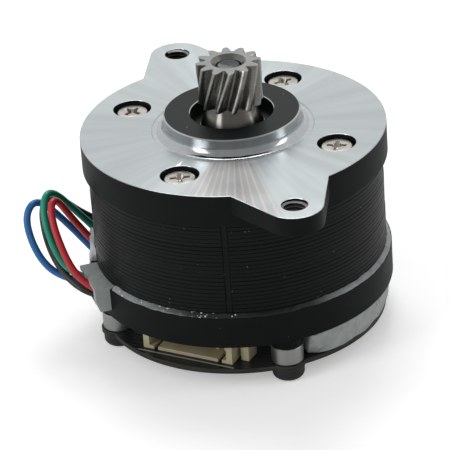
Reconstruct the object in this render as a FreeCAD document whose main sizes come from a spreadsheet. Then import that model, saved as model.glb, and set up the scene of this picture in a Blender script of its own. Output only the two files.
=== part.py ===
"""A round hybrid stepper motor with a helical pinion, for a filament extruder.

Millimetres, +Z along the shaft towards the pinion. The origin is on the shaft's axis at the mounting face,
midway between the two ear holes, which lie on the X axis.
"""

import FreeCAD, Part
import math
import os

import Sketcher

Vector = FreeCAD.Vector
Z_UP = Vector(0, 0, 1)

# Driving dimensions, in millimetres and degrees.
DIMENSIONS = {
    # mounting face, ears and boss
    "cap_radius": 17.95,
    "front_cap_height": 3.8,
    "front_plate": 1.7,
    "ear_pitch": 43.84,
    "ear_tip_radius": 3.3,
    "ear_thickness": 2.3,
    "ear_root_angle": 19,
    "ear_count": 2,
    "ear_hole_radius": 1.5,
    "boss_radius": 8.0,
    "boss_height": 2.0,
    "boss_fillet": 1.15,
    "boss_bore_radius": 4.9,
    # stack of laminations
    "stack_step": 0.65,
    "stack_length": 12.0,
    "groove_width": 0.8,
    "groove_depth": 0.45,
    "groove_count": 4,
    "groove_angle": -22.5,
    "yoke_thickness": 2.4,
    "pole_count": 8,
    "pole_width": 2.8,
    "pole_angle": 22.5,
    "shoe_width": 6.0,
    "shoe_thickness": 1.1,
    "air_gap": 0.15,
    # windings and their end frames
    "frame_thickness": 0.3,
    "frame_flange": 1.05,
    "frame_rim": 0.4,
    "frame_fit": 0.05,
    "coil_side": 1.2,
    "coil_end": 0.65,
    "coil_corner": 0.5,
    "coil_fit": 0.05,
    "coil_gap": 0.65,
    "coil_back_gap": 0.7,
    # rear cap
    "room_gap": 0.3,
    "rear_cap_height": 3.8,
    "rear_floor": 1.7,
    "rear_bearing_floor": 0.8,
    # bearings
    "bearing_outer_radius": 6.5,
    "bearing_bore_radius": 2.5,
    "bearing_width": 4.0,
    "inner_land_radius": 3.9,
    "running_fit": 0.08,
    "bearing_seat_z": 0.2,
    "bearing_wall": 1.5,
    "rotor_gap": 0.9,
    "seat_fit": 0.01,
    # rotor
    "winding_depth": 5.9,
    "rotor_tooth_count": 50,
    "rotor_slot_width": 0.7,
    "rotor_slot_depth": 0.55,
    "magnet_step": 1.4,
    "magnet_length": 1.5,
    "shaft_end_gap": 0.2,
    # pinion
    "pinion_top": 8.3,
    "pinion_tooth_count": 12,
    "pinion_addendum": 0.61,
    "pinion_pitch_radius": 3.19,
    "pinion_dedendum": 0.51,
    "pinion_helix_angle": 18,
    "pinion_turn": -13.0,
    "tooth_tip_half": 0.2,
    "tooth_pitch_half": 0.45,
    "tooth_root_half": 0.53,
    "tooth_cover": 0.1,
    "flare_top": 3.3,
    "hub_clearance": 1.05,
    "hub_ledge": 0.45,
    "hub_top": 0.55,
    "hub_bottom": 0.3,
    "pinion_bore_radius": 1.5,
    "pinion_countersink": 0.5,
    "shaft_recess": 0.45,
    # case screws
    "case_screw_inset": 1.5,
    "case_screw_angle": 45,
    "screw_count": 4,
    "screw_radius": 1.0,
    "screw_hole_fit": 0.1,
    "thread_fit": 0.02,
    "case_head_radius": 1.9,
    "case_head_height": 0.8,
    "case_head_recess": 0.36,
    "counterbore_fit": 0.35,
    "case_screw_bite": 1.06,
    # board and what carries it
    "board_screw_inset": 2.15,
    "board_boss_radius": 1.88,
    "board_boss_height": 1.3,
    "spacer_height": 2.15,
    "board_step": 0.95,
    "board_lobe_radius": 2.1,
    "board_thickness": 0.6,
    "board_head_radius": 1.9,
    "board_head_height": 1.65,
    "board_screw_reach": 2.2,
    # connector
    "connector_angle": -45,
    "connector_inset": 2.1,
    "connector_depth": 4.2,
    "connector_width": 11.7,
    "connector_gap": 0.15,
    "connector_side_wall": 0.8,
    "connector_back_wall": 0.8,
    "connector_floor": 0.45,
    "lip_slot_width": 0.5,
    "lip_slot_inset": 0.6,
    "lip_slot_depth": 2.4,
    "contact_count": 10,
    "contact_pitch": 1.0,
    "contact_size": 0.3,
    "contact_level": 1.3,
    "contact_setback": 1.0,
    "contact_tail": 0.8,
    "contact_fit": 0.02,
    "tab_thickness": 0.2,
    "tab_length": 1.8,
    "tab_height": 1.1,
    "tab_foot": 0.3,
    "side_block_width": 1.1,
    "side_block_depth": 2.1,
    "side_block_gap": 0.4,
    "side_block_setback": 1.36,
    # filler and the component that it cools
    "chip_angle": 45,
    "filler_gap": 0.4,
    "filler_step": 0.25,
    "filler_width": 8.2,
    "filler_taper_width": 1.5,
    "filler_taper_height": 2.9,
    "chip_size": 5.0,
    "chip_height": 0.9,
    "chip_inset": 3.1,
    "filler_fit": 0.05,
    # seal round the leads, and lead guide
    "exit_angle": -120.5,
    "exit_bulge": 0.4,
    "exit_radius": 9.6,
    "exit_rise": 1.8,
    "exit_drop": 2.0,
    "exit_notch_width": 4.5,
    "exit_notch_depth": 1.1,
    "seal_fit": 0.02,
    "guide_left": -2.6,
    "guide_right": 4.0,
    "guide_depth": 1.35,
    "guide_root": 0.8,
    "guide_rise": 0.25,
    "guide_drop": 2.8,
    "guide_wall": 0.9,
    "guide_hood": 0.45,
    "guide_sill": 0.35,
    "guide_back": 0.65,
    "guide_taper_width": 0.45,
    "guide_taper_height": 1.5,
    # leads
    "lead_radius": 0.4,
    "lead_fit": 0.02,
}

# The leads' routes from the exit seal over their loop to the lead guide, chosen by eye. A point is its
# X, how far it stands out from the cap's side along -Y, and how far it lies above the rear cap.
LEAD_ROUTES = {
    "blue_lead": [
        (-8.2, -1.85, -1.1), (-8.4, 1.05, 3.2), (-7.4, 4.65, 7.9), (-6, 6.75, 6.2),
        (-4.8, 5.75, 1.1), (-3.5, 3.25, -1.6), (-1.6, 0.25, -1.85),
    ],
    "green_lead": [
        (-9.15, -2.7, 0.9), (-8.9, -0.35, 4.2), (-6.7, 3.25, 9.2), (-5, 4.75, 7.2),
        (-2.6, 4.05, 2.1), (-1.3, 2.2, -0.2), (-0.3, 0.25, -1.0),
    ],
    "red_lead": [
        (-7.3, -1.7, 0.5), (-6.6, 0.55, 4.1), (-5, 3.15, 9.0), (-3.3, 4.15, 7.0),
        (-0.4, 3.35, 2.3), (0.9, 1.9, -0.2), (1.9, 0.25, -1.2),
    ],
    "black_lead": [
        (-10.75, -3.65, 1.2), (-11.5, -1.85, 2.1), (-11, 1.45, 5.7), (-9.4, 3.95, 5.6),
        (-5, 4.25, 1.2), (0.4, 2.5, -1.35), (1.2, 0.25, -2.05),
    ],
}
LEAD_SIDES = 6  # flats round a lead, which keep its facets few
SHANK_SIDES = 8
CUT_REACH = 1.1  # how far past a surface a cut starts, as a share of its radius
ROOT_SINK = 0.9  # the share of the root radius at which a pinion tooth starts
FLANGE_SHARE = 0.4  # half the width of an end frame's flange, as a share of the pole shoe
ARC_SHARE = 0.45  # the part of the shorter run that a lead's bend takes up


class Size:
    """A driving dimension, or a sum of them: its value and the formula that the document keeps."""

    def __init__(self, value, text):
        self.value = value
        self.text = text

    def __add__(self, other):
        other = sized(other)
        return Size(self.value + other.value, f"({self.text} + {other.text})")

    def __radd__(self, other):
        return sized(other) + self

    def __sub__(self, other):
        other = sized(other)
        return Size(self.value - other.value, f"({self.text} - {other.text})")

    def __rsub__(self, other):
        return sized(other) - self

    def __mul__(self, other):
        other = sized(other)
        return Size(self.value * other.value, f"({self.text} * {other.text})")

    def __rmul__(self, other):
        return sized(other) * self

    def __truediv__(self, other):
        other = sized(other)
        return Size(self.value / other.value, f"({self.text} / {other.text})")

    def __neg__(self):
        return 0 - self


def sized(number):
    """A plain number as a size."""
    return number if isinstance(number, Size) else Size(number, str(number))


def cosine(angle):
    return Size(math.cos(math.radians(angle.value)), f"cos({angle.text})")


def sine(angle):
    return Size(math.sin(math.radians(angle.value)), f"sin({angle.text})")


def tangent(angle):
    return Size(math.tan(math.radians(angle.value)), f"tan({angle.text})")


def root(square):
    return Size(math.sqrt(square.value), f"sqrt({square.text})")


doc = FreeCAD.newDocument("extruder_motor")
sheet = doc.addObject("Spreadsheet::Sheet", "sizes")
for row, (name, number) in enumerate(DIMENSIONS.items(), start=1):
    sheet.set(f"A{row}", name)
    sheet.set(f"B{row}", str(number))
    sheet.setAlias(f"B{row}", name)
doc.recompute()


class Dimensions:
    """The sheet's cells, by name."""

    def __getattr__(self, name):
        return Size(float(sheet.get(name)), f"sizes.{name}")


d = Dimensions()

# Radii that follow from the cap's, the rotor's and the pinion's.
STACK_RADIUS = d.cap_radius - d.stack_step
YOKE_INNER_RADIUS = STACK_RADIUS - d.yoke_thickness
ROOM_RADIUS = YOKE_INNER_RADIUS + d.room_gap
CASE_SCREW_CIRCLE = YOKE_INNER_RADIUS - d.case_screw_inset
BOARD_SCREW_CIRCLE = d.cap_radius - d.board_screw_inset
BOARD_RADIUS = d.cap_radius - d.board_step
CONNECTOR_FRONT = BOARD_RADIUS - d.connector_inset
FILLER_OUTER_RADIUS = d.cap_radius - d.filler_step
FILLER_INNER_RADIUS = FILLER_OUTER_RADIUS - d.filler_width
CHIP_CIRCLE = FILLER_INNER_RADIUS + d.chip_inset
EXIT_CENTRE = d.cap_radius + d.exit_bulge - d.exit_radius
GUIDE_OUTER = d.cap_radius + d.guide_depth
GUIDE_INNER = STACK_RADIUS - d.guide_root
GUIDE_BACK = d.cap_radius + d.guide_back
ROTOR_RADIUS = YOKE_INNER_RADIUS - d.winding_depth
STATOR_BORE = ROTOR_RADIUS + d.air_gap
COIL_INNER_RADIUS = STATOR_BORE + d.shoe_thickness + d.coil_gap
COIL_LENGTH = YOKE_INNER_RADIUS - d.coil_back_gap - COIL_INNER_RADIUS
MAGNET_RADIUS = ROTOR_RADIUS - d.magnet_step
HUB_RADIUS = d.boss_bore_radius - d.hub_clearance
PINION_TIP_RADIUS = d.pinion_pitch_radius + d.pinion_addendum
PINION_ROOT_RADIUS = d.pinion_pitch_radius - d.pinion_dedendum
BEARING_SEAT_RADIUS = d.bearing_outer_radius + d.seat_fit
HOUSING_RADIUS = d.bearing_outer_radius + d.bearing_wall
SCREW_HOLE_RADIUS = d.screw_radius + d.screw_hole_fit
THREAD_RADIUS = d.screw_radius + d.thread_fit

# Levels, from the mounting face down to the board.
STACK_TOP = -d.front_cap_height
STACK_BOTTOM = STACK_TOP - d.stack_length
STACK_MIDDLE = STACK_TOP - d.stack_length / 2
REAR_FACE = STACK_BOTTOM - d.rear_cap_height
BOSS_FACE = REAR_FACE - d.board_boss_height
BOARD_TOP = BOSS_FACE - d.spacer_height
BOARD_BOTTOM = BOARD_TOP - d.board_thickness
BEARING_MIDDLE = d.bearing_seat_z - d.bearing_width / 2
FRONT_BEARING_END = d.bearing_seat_z - d.bearing_width
REAR_BEARING_END = REAR_FACE + d.rear_bearing_floor
REAR_BEARING_MIDDLE = REAR_BEARING_END + d.bearing_width / 2
REAR_BEARING_TOP = REAR_BEARING_END + d.bearing_width
ROTOR_TOP = FRONT_BEARING_END - d.rotor_gap
ROTOR_BOTTOM = REAR_BEARING_TOP + d.rotor_gap
CUP_LENGTH = (ROTOR_TOP - ROTOR_BOTTOM - d.magnet_length) / 2
CASE_HEAD_SEAT = -(d.case_head_recess + d.case_head_height)
REAR_FLOOR_TOP = REAR_FACE + d.rear_floor
CASE_SCREW_LENGTH = CASE_HEAD_SEAT - REAR_FLOOR_TOP + d.case_screw_bite
EXIT_TOP = STACK_BOTTOM + d.exit_rise
EXIT_BOTTOM = STACK_BOTTOM - d.exit_drop
GUIDE_TOP = STACK_BOTTOM + d.guide_rise
GUIDE_BOTTOM = STACK_BOTTOM - d.guide_drop
TOOTH_START = d.flare_top - d.tooth_cover
CONNECTOR_HEIGHT = REAR_FACE - BOARD_TOP - d.connector_gap
CONNECTOR_BACK = CONNECTOR_FRONT - d.connector_depth


def bind(thing, name, size):
    """Ties one property of an object to a size."""
    thing.setExpression(name, sized(size).text)


def new_body(label):
    body = doc.addObject("PartDesign::Body", label)
    body.Label = label
    return body


def place(thing, z=None, turn=None):
    """Lifts a sub-part to its level and turns it about the shaft's axis."""
    if turn is not None:
        thing.Placement = FreeCAD.Placement(Vector(), FreeCAD.Rotation(Z_UP, 1))
        bind(thing, "Placement.Rotation.Angle", turn)
    if z is not None:
        bind(thing, "Placement.Base.z", z)


def origin_plane(body, role):
    return next(item for item in body.Origin.OriginFeatures if item.Role == role)


def new_sketch(body, name, plane="XY_Plane", level=None):
    """A sketch on one of the body's own planes, lifted off it by level."""
    sketch = body.newObject("Sketcher::SketchObject", name)
    sketch.AttachmentSupport = [(origin_plane(body, plane), "")]
    sketch.MapMode = "FlatFace"
    if level is not None:
        bind(sketch, "AttachmentOffset.Base.z", level)
    return sketch


def turn_sketch(sketch, angle):
    """Turns a sketch in its own plane."""
    offset = sketch.AttachmentOffset
    sketch.AttachmentOffset = FreeCAD.Placement(offset.Base, FreeCAD.Rotation(Z_UP, 1))
    bind(sketch, "AttachmentOffset.Rotation.Angle", angle)


def fix_point(sketch, edge, end, x, y):
    """Holds one point of a sketch at its two sizes."""
    for kind, size in (("DistanceX", sized(x)), ("DistanceY", sized(y))):
        index = sketch.addConstraint(Sketcher.Constraint(kind, -1, 1, edge, end, size.value))
        bind(sketch, f"Constraints[{index}]", size)


def add_circle(sketch, radius, x=0, y=0):
    centre = Vector(sized(x).value, sized(y).value, 0)
    edge = sketch.addGeometry(Part.Circle(centre, Z_UP, radius.value))
    fix_point(sketch, edge, 3, x, y)
    index = sketch.addConstraint(Sketcher.Constraint("Radius", edge, radius.value))
    bind(sketch, f"Constraints[{index}]", radius)


def add_shank(sketch, radius, x, y=0):
    """The section of a hidden shank or of its hole, with SHANK_SIDES flats that keep its facets few."""
    step = 360 / SHANK_SIDES
    corners = []
    for side in range(SHANK_SIDES):
        angle = sized(step * (side + 0.5))
        corners.append((x + radius * cosine(angle), y + radius * sine(angle)))
    add_outline(sketch, corners)


def arc_between(start, end, radius, bulge_left):
    """The arc from one point to another, with its belly to the left or right of the way there.

    A sketch counts its arcs anticlockwise, so an arc that bends to the left is drawn from its far end.
    """
    chord = end - start
    half = chord.Length / 2
    right = Vector(chord.y, -chord.x, 0).normalize()
    height = radius - math.sqrt(radius**2 - half**2)
    middle = start + chord * 0.5
    if bulge_left:
        return Part.Arc(end, middle - right * height, start)
    return Part.Arc(start, middle + right * height, end)


def add_outline(sketch, points):
    """A closed outline. A point is (x, y), or (x, y, radius, bulge_left) where an arc leaves it."""
    first = sketch.GeometryCount
    count = len(points)
    corners = [Vector(sized(point[0]).value, sized(point[1]).value, 0) for point in points]
    for index, point in enumerate(points):
        start = corners[index]
        end = corners[(index + 1) % count]
        if len(point) == 2:
            sketch.addGeometry(Part.LineSegment(start, end))
        else:
            sketch.addGeometry(arc_between(start, end, point[2].value, point[3]))
    ends = [(2, 1) if len(point) > 2 and point[3] else (1, 2) for point in points]
    for index, point in enumerate(points):
        edge = first + index
        following = (index + 1) % count
        sketch.addConstraint(
            Sketcher.Constraint("Coincident", edge, ends[index][1], first + following, ends[following][0])
        )
        fix_point(sketch, edge, ends[index][0], point[0], point[1])
        if len(point) > 2:
            constraint = sketch.addConstraint(Sketcher.Constraint("Radius", edge, point[2].value))
            bind(sketch, f"Constraints[{constraint}]", point[2])


def rectangle(left, bottom, right, top):
    return [(left, bottom), (right, bottom), (right, top), (left, top)]


def centred(width, height):
    """A rectangle about the sketch's origin."""
    return rectangle(-(width / 2), -(height / 2), width / 2, height / 2)


def corners_round(flat_radius, count):
    """The corners of a regular polygon whose flats, one of them on the X axis, lie at flat_radius."""
    step = sized(360) / count
    corner_radius = flat_radius / cosine(step / 2)
    corners = []
    for index in range(round(count.value)):
        angle = step * (index + 0.5)
        corners.append((corner_radius * cosine(angle), corner_radius * sine(angle)))
    return corners


def pad(body, sketch, length, down=False):
    feature = body.newObject("PartDesign::Pad", f"{sketch.Name}_pad")
    feature.Profile = sketch
    bind(feature, "Length", length)
    feature.Reversed = down
    doc.recompute()
    return feature


def pocket(body, sketch, depth, up=False):
    """Cuts a sketch into the body and makes sure that it cut."""
    before = body.Shape.Volume
    feature = body.newObject("PartDesign::Pocket", f"{sketch.Name}_pocket")
    feature.Profile = sketch
    bind(feature, "Length", depth)
    feature.Reversed = up
    doc.recompute()
    if body.Shape.Volume >= before:
        raise RuntimeError(f"{feature.Name} cuts nothing")
    return feature


def turned(body, name, points, angle=None, kind="Revolution"):
    """A solid or a groove turned about the Z axis, from an outline of radii and levels."""
    sketch = new_sketch(body, name, "XZ_Plane")
    add_outline(sketch, points)
    feature = body.newObject(f"PartDesign::{kind}", f"{name}_turned")
    feature.Profile = sketch
    feature.ReferenceAxis = (sketch, ["V_Axis"])
    feature.Angle = 360
    if angle is not None:
        bind(feature, "Angle", angle)
    doc.recompute()
    return feature


def ring(body, features, count):
    """Repeats features evenly round the shaft's axis."""
    pattern = body.newObject("PartDesign::PolarPattern", f"{features[0].Name}_ring")
    pattern.Originals = features
    pattern.Axis = (origin_plane(body, "Z_Axis"), [""])
    pattern.Angle = 360
    bind(pattern, "Occurrences", count)
    body.Tip = pattern
    doc.recompute()
    return pattern


def row_along_y(body, features, count, length):
    """Repeats features in a row along the Y axis."""
    pattern = body.newObject("PartDesign::LinearPattern", f"{features[0].Name}_row")
    pattern.Originals = features
    pattern.Direction = (origin_plane(body, "Y_Axis"), [""])
    bind(pattern, "Length", length)
    bind(pattern, "Occurrences", count)
    body.Tip = pattern
    doc.recompute()
    return pattern


def cut_winding_room(body, name, level, depth, up):
    """Cuts an eight-sided room for the windings' ends, round the bearing's housing."""
    sketch = new_sketch(body, name, level=level)
    turn_sketch(sketch, d.pole_angle)
    add_outline(sketch, corners_round(ROOM_RADIUS, d.pole_count))
    add_outline(sketch, corners_round(HOUSING_RADIUS, d.pole_count))
    pocket(body, sketch, depth, up)


def make_front_end_cap():
    """The turned cap with its boss, ears, tapped ear holes and screw counterbores."""
    body = new_body("front_end_cap")
    turned(body, "front_section", [
        (d.boss_bore_radius, d.bearing_seat_z),
        (d.boss_bore_radius, d.boss_height),
        (d.boss_radius, d.boss_height),
        (d.boss_radius, d.boss_fillet),
        (d.boss_radius + d.boss_fillet, 0),
        (d.cap_radius, 0),
        (d.cap_radius, STACK_TOP),
        (BEARING_SEAT_RADIUS, STACK_TOP),
        (BEARING_SEAT_RADIUS, d.bearing_seat_z),
    ])
    # Straight flanks run from the cap's edge, tangent to the round tip about each hole.
    hole_x = d.ear_pitch / 2
    corner_x = d.cap_radius * cosine(d.ear_root_angle)
    corner_y = d.cap_radius * sine(d.ear_root_angle)
    run_x = hole_x - corner_x
    span_square = run_x * run_x + corner_y * corner_y
    flank = root(span_square - d.ear_tip_radius * d.ear_tip_radius)
    normal_x = (corner_y * flank - run_x * d.ear_tip_radius) / span_square
    normal_y = (run_x * flank + corner_y * d.ear_tip_radius) / span_square
    touch_x = hole_x + d.ear_tip_radius * normal_x
    touch_y = d.ear_tip_radius * normal_y
    inner_x = (d.cap_radius + d.boss_radius) / 2
    ear_sketch = new_sketch(body, "ear")
    add_outline(ear_sketch, [
        (inner_x, corner_y),
        (inner_x, -corner_y),
        (corner_x, -corner_y),
        (touch_x, -touch_y, d.ear_tip_radius, False),
        (touch_x, touch_y),
        (corner_x, corner_y),
    ])
    ear = pad(body, ear_sketch, d.ear_thickness, down=True)
    hole_sketch = new_sketch(body, "ear_hole")
    add_circle(hole_sketch, d.ear_hole_radius, hole_x)
    ring(body, [ear], d.ear_count)
    hole = pocket(body, hole_sketch, d.ear_thickness)
    ring(body, [hole], d.ear_count)
    cut_winding_room(body, "front_room", STACK_TOP, -d.front_plate - STACK_TOP, up=True)
    screw_x = CASE_SCREW_CIRCLE * cosine(d.case_screw_angle)
    head_sketch = new_sketch(body, "counterbore")
    add_circle(head_sketch, d.case_head_radius + d.counterbore_fit, screw_x, screw_x)
    counterbore = pocket(body, head_sketch, -CASE_HEAD_SEAT)
    ring(body, [counterbore], d.screw_count)
    shank_sketch = new_sketch(body, "case_screw_hole")
    add_shank(shank_sketch, SCREW_HOLE_RADIUS, screw_x, screw_x)
    shank = pocket(body, shank_sketch, d.front_plate)
    ring(body, [shank], d.screw_count)
    return body


def make_rear_end_cap():
    """The rear cap with the rear bearing's housing, tapped holes, board bosses and the leads' notch."""
    body = new_body("rear_end_cap")
    turned(body, "rear_section", [
        (0, REAR_FACE),
        (d.cap_radius, REAR_FACE),
        (d.cap_radius, STACK_BOTTOM),
        (HOUSING_RADIUS, STACK_BOTTOM),
        (HOUSING_RADIUS, REAR_BEARING_TOP),
        (BEARING_SEAT_RADIUS, REAR_BEARING_TOP),
        (BEARING_SEAT_RADIUS, REAR_BEARING_END),
        (0, REAR_BEARING_END),
    ])
    cut_winding_room(body, "rear_room", STACK_BOTTOM, STACK_BOTTOM - REAR_FLOOR_TOP, up=False)
    boss_sketch = new_sketch(body, "board_boss", level=REAR_FACE)
    add_circle(boss_sketch, d.board_boss_radius, BOARD_SCREW_CIRCLE)
    boss = pad(body, boss_sketch, d.board_boss_height, down=True)
    ring(body, [boss], d.screw_count)
    tap_sketch = new_sketch(body, "board_tap", level=BOSS_FACE)
    add_shank(tap_sketch, THREAD_RADIUS, BOARD_SCREW_CIRCLE)
    tap = pocket(body, tap_sketch, d.board_screw_reach, up=True)
    ring(body, [tap], d.screw_count)
    screw_x = CASE_SCREW_CIRCLE * cosine(d.case_screw_angle)
    case_sketch = new_sketch(body, "case_tap", level=REAR_FLOOR_TOP)
    add_shank(case_sketch, THREAD_RADIUS, screw_x, screw_x)
    tap = pocket(body, case_sketch, d.case_screw_bite)
    ring(body, [tap], d.screw_count)
    notch_sketch = new_sketch(body, "lead_notch", level=STACK_BOTTOM)
    turn_sketch(notch_sketch, d.exit_angle)
    half = d.exit_notch_width / 2
    add_outline(notch_sketch, rectangle(COIL_INNER_RADIUS + COIL_LENGTH, -half, d.cap_radius * CUT_REACH, half))
    pocket(body, notch_sketch, d.exit_notch_depth)
    return body


def make_stator_stack():
    """Laminations: a yoke with grooves outside and eight poles with shoes inside."""
    body = new_body("stator_stack")
    yoke_sketch = new_sketch(body, "yoke")
    add_circle(yoke_sketch, STACK_RADIUS)
    add_outline(yoke_sketch, corners_round(YOKE_INNER_RADIUS, d.pole_count))
    pad(body, yoke_sketch, d.stack_length, down=True)
    half = d.pole_width / 2
    shoe_half = d.shoe_width / 2
    shoe_x = root(STATOR_BORE * STATOR_BORE - shoe_half * shoe_half)
    shoe_back = STATOR_BORE + d.shoe_thickness
    shoulder_x = shoe_x + d.shoe_thickness / 2
    pole_end = (STACK_RADIUS + YOKE_INNER_RADIUS) / 2
    pole_sketch = new_sketch(body, "pole")
    add_outline(pole_sketch, [
        (pole_end, half),
        (shoe_back, half),
        (shoulder_x, shoe_half),
        (shoe_x, shoe_half, STATOR_BORE, True),
        (shoe_x, -shoe_half),
        (shoulder_x, -shoe_half),
        (shoe_back, -half),
        (pole_end, -half),
    ])
    pole = pad(body, pole_sketch, d.stack_length, down=True)
    ring(body, [pole], d.pole_count)
    groove_sketch = new_sketch(body, "stacking_groove")
    turn_sketch(groove_sketch, d.groove_angle - d.pole_angle)
    groove_half = d.groove_width / 2
    add_outline(groove_sketch, rectangle(
        STACK_RADIUS - d.groove_depth, -groove_half, STACK_RADIUS * CUT_REACH, groove_half
    ))
    groove = pocket(body, groove_sketch, d.stack_length)
    ring(body, [groove], d.groove_count)
    place(body, STACK_TOP, d.pole_angle)
    return body


def make_insulator(label, level, down):
    """An end frame: a rim under the cap, a spoke on each pole and an upright flange at each shoe."""
    body = new_body(label)
    rim_sketch = new_sketch(body, f"{label}_rim")
    rim_radius = YOKE_INNER_RADIUS - d.frame_fit
    add_outline(rim_sketch, corners_round(rim_radius, d.pole_count))
    add_outline(rim_sketch, corners_round(rim_radius - d.frame_rim, d.pole_count))
    pad(body, rim_sketch, d.frame_flange, down)
    half = d.pole_width / 2
    flange_inner = STATOR_BORE + d.shoe_thickness / 2
    spoke_sketch = new_sketch(body, f"{label}_spoke")
    add_outline(spoke_sketch, rectangle(flange_inner, -half, rim_radius - d.frame_rim / 2, half))
    spoke = pad(body, spoke_sketch, d.frame_thickness, down)
    flange_half = d.shoe_width * FLANGE_SHARE
    flange_sketch = new_sketch(body, f"{label}_flange")
    add_outline(flange_sketch, rectangle(flange_inner, -flange_half, flange_inner + d.frame_rim, flange_half))
    flange = pad(body, flange_sketch, d.frame_flange, down)
    ring(body, [spoke, flange], d.pole_count)
    place(body, level, d.pole_angle)
    return body


def make_coils(label, first_pole):
    """Four windings of one phase, each round a pole and its end frames."""
    body = new_body(label)
    width = d.pole_width + d.coil_fit * 2
    height = d.stack_length + d.frame_thickness * 2 + d.coil_fit * 2
    outer_half = width / 2 + d.coil_side
    outer_top = height / 2 + d.coil_end
    corner = d.coil_corner
    sketch = new_sketch(body, f"{label}_section", "YZ_Plane", COIL_INNER_RADIUS)
    add_outline(sketch, [
        (outer_half - corner, -outer_top),
        (outer_half, corner - outer_top),
        (outer_half, outer_top - corner),
        (outer_half - corner, outer_top),
        (corner - outer_half, outer_top),
        (-outer_half, outer_top - corner),
        (-outer_half, corner - outer_top),
        (corner - outer_half, -outer_top),
    ])
    add_outline(sketch, centred(width, height))
    coil = pad(body, sketch, COIL_LENGTH)
    ring(body, [coil], d.pole_count / 2)
    place(body, STACK_MIDDLE, d.pole_angle + sized(360 * first_pole) / d.pole_count)
    return body


def make_bearing(prefix, middle):
    """A sealed ball bearing: the outer race with its seals, and the inner race."""
    half = d.bearing_width / 2
    outer = new_body(f"{prefix}_bearing_outer_race")
    turned(outer, f"{prefix}_outer_section", rectangle(
        d.inner_land_radius + d.running_fit, -half, d.bearing_outer_radius, half
    ))
    inner = new_body(f"{prefix}_bearing_inner_race")
    turned(inner, f"{prefix}_inner_section", rectangle(
        d.bearing_bore_radius + d.seat_fit, -half, d.inner_land_radius, half
    ))
    for piece in (outer, inner):
        place(piece, middle)
    return [outer, inner]


def make_rotor_cup(label, bottom, first_turn):
    """One toothed rotor cup; the other is half a tooth pitch round from it."""
    body = new_body(label)
    half_pitch = sized(180) / d.rotor_tooth_count
    blank_sketch = new_sketch(body, f"{label}_blank")
    add_outline(blank_sketch, corners_round(ROTOR_RADIUS * cosine(half_pitch), d.rotor_tooth_count))
    add_circle(blank_sketch, d.bearing_bore_radius + d.seat_fit)
    pad(body, blank_sketch, CUP_LENGTH)
    slot_sketch = new_sketch(body, f"{label}_slot", level=CUP_LENGTH)
    turn_sketch(slot_sketch, half_pitch)
    half = d.rotor_slot_width / 2
    add_outline(slot_sketch, [
        (ROTOR_RADIUS - d.rotor_slot_depth, 0), (ROTOR_RADIUS, -half), (ROTOR_RADIUS * CUT_REACH, -half),
        (ROTOR_RADIUS * CUT_REACH, half), (ROTOR_RADIUS, half),
    ])
    slot = pocket(body, slot_sketch, CUP_LENGTH)
    ring(body, [slot], d.rotor_tooth_count)
    place(body, bottom, first_turn)
    return body


def make_rotor_magnet():
    """The disc magnet between the rotor cups."""
    body = new_body("rotor_magnet")
    turned(body, "magnet_section", rectangle(
        d.bearing_bore_radius + d.seat_fit, ROTOR_BOTTOM + CUP_LENGTH, MAGNET_RADIUS, ROTOR_TOP - CUP_LENGTH
    ))
    return body


def make_shaft():
    """The stepped shaft: one diameter in bearings and rotor, a smaller spigot in the pinion."""
    body = new_body("shaft")
    lower_end = REAR_BEARING_END + d.shaft_end_gap
    spigot_top = d.pinion_top - d.shaft_recess
    turned(body, "shaft_section", [
        (0, lower_end),
        (d.bearing_bore_radius, lower_end),
        (d.bearing_bore_radius, d.hub_bottom),
        (d.pinion_bore_radius, d.hub_bottom),
        (d.pinion_bore_radius, spigot_top),
        (0, spigot_top),
    ])
    return body


def make_pinion():
    """A right-hand helical pinion whose teeth end above the flare of its hub."""
    body = new_body("pinion")
    bore = d.pinion_bore_radius + d.seat_fit
    turned(body, "pinion_section", [
        (bore, d.hub_bottom),
        (HUB_RADIUS, d.hub_bottom),
        (HUB_RADIUS, d.hub_top),
        (HUB_RADIUS - d.hub_ledge, d.hub_top),
        (PINION_ROOT_RADIUS, d.flare_top),
        (PINION_ROOT_RADIUS, d.pinion_top),
        (bore + d.pinion_countersink, d.pinion_top),
        (bore, d.pinion_top - d.pinion_countersink),
    ])
    tooth_sketch = new_sketch(body, "tooth", level=TOOTH_START)
    root_x = PINION_ROOT_RADIUS * ROOT_SINK
    add_outline(tooth_sketch, [
        (root_x, -d.tooth_root_half),
        (d.pinion_pitch_radius, -d.tooth_pitch_half),
        (PINION_TIP_RADIUS, -d.tooth_tip_half),
        (PINION_TIP_RADIUS, d.tooth_tip_half),
        (d.pinion_pitch_radius, d.tooth_pitch_half),
        (root_x, d.tooth_root_half),
    ])
    tooth = body.newObject("PartDesign::AdditiveHelix", "tooth_sweep")
    tooth.Profile = tooth_sketch
    tooth.ReferenceAxis = (origin_plane(body, "Z_Axis"), [""])
    tooth.Mode = "pitch-height-angle"
    bind(tooth, "Pitch", 2 * math.pi * d.pinion_pitch_radius / tangent(d.pinion_helix_angle))
    bind(tooth, "Height", d.pinion_top - TOOTH_START)
    tooth.Angle = 0
    tooth.Refine = False
    doc.recompute()
    teeth = ring(body, [tooth], d.pinion_tooth_count)
    teeth.Refine = False
    place(body, turn=d.pinion_turn)
    return body


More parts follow.
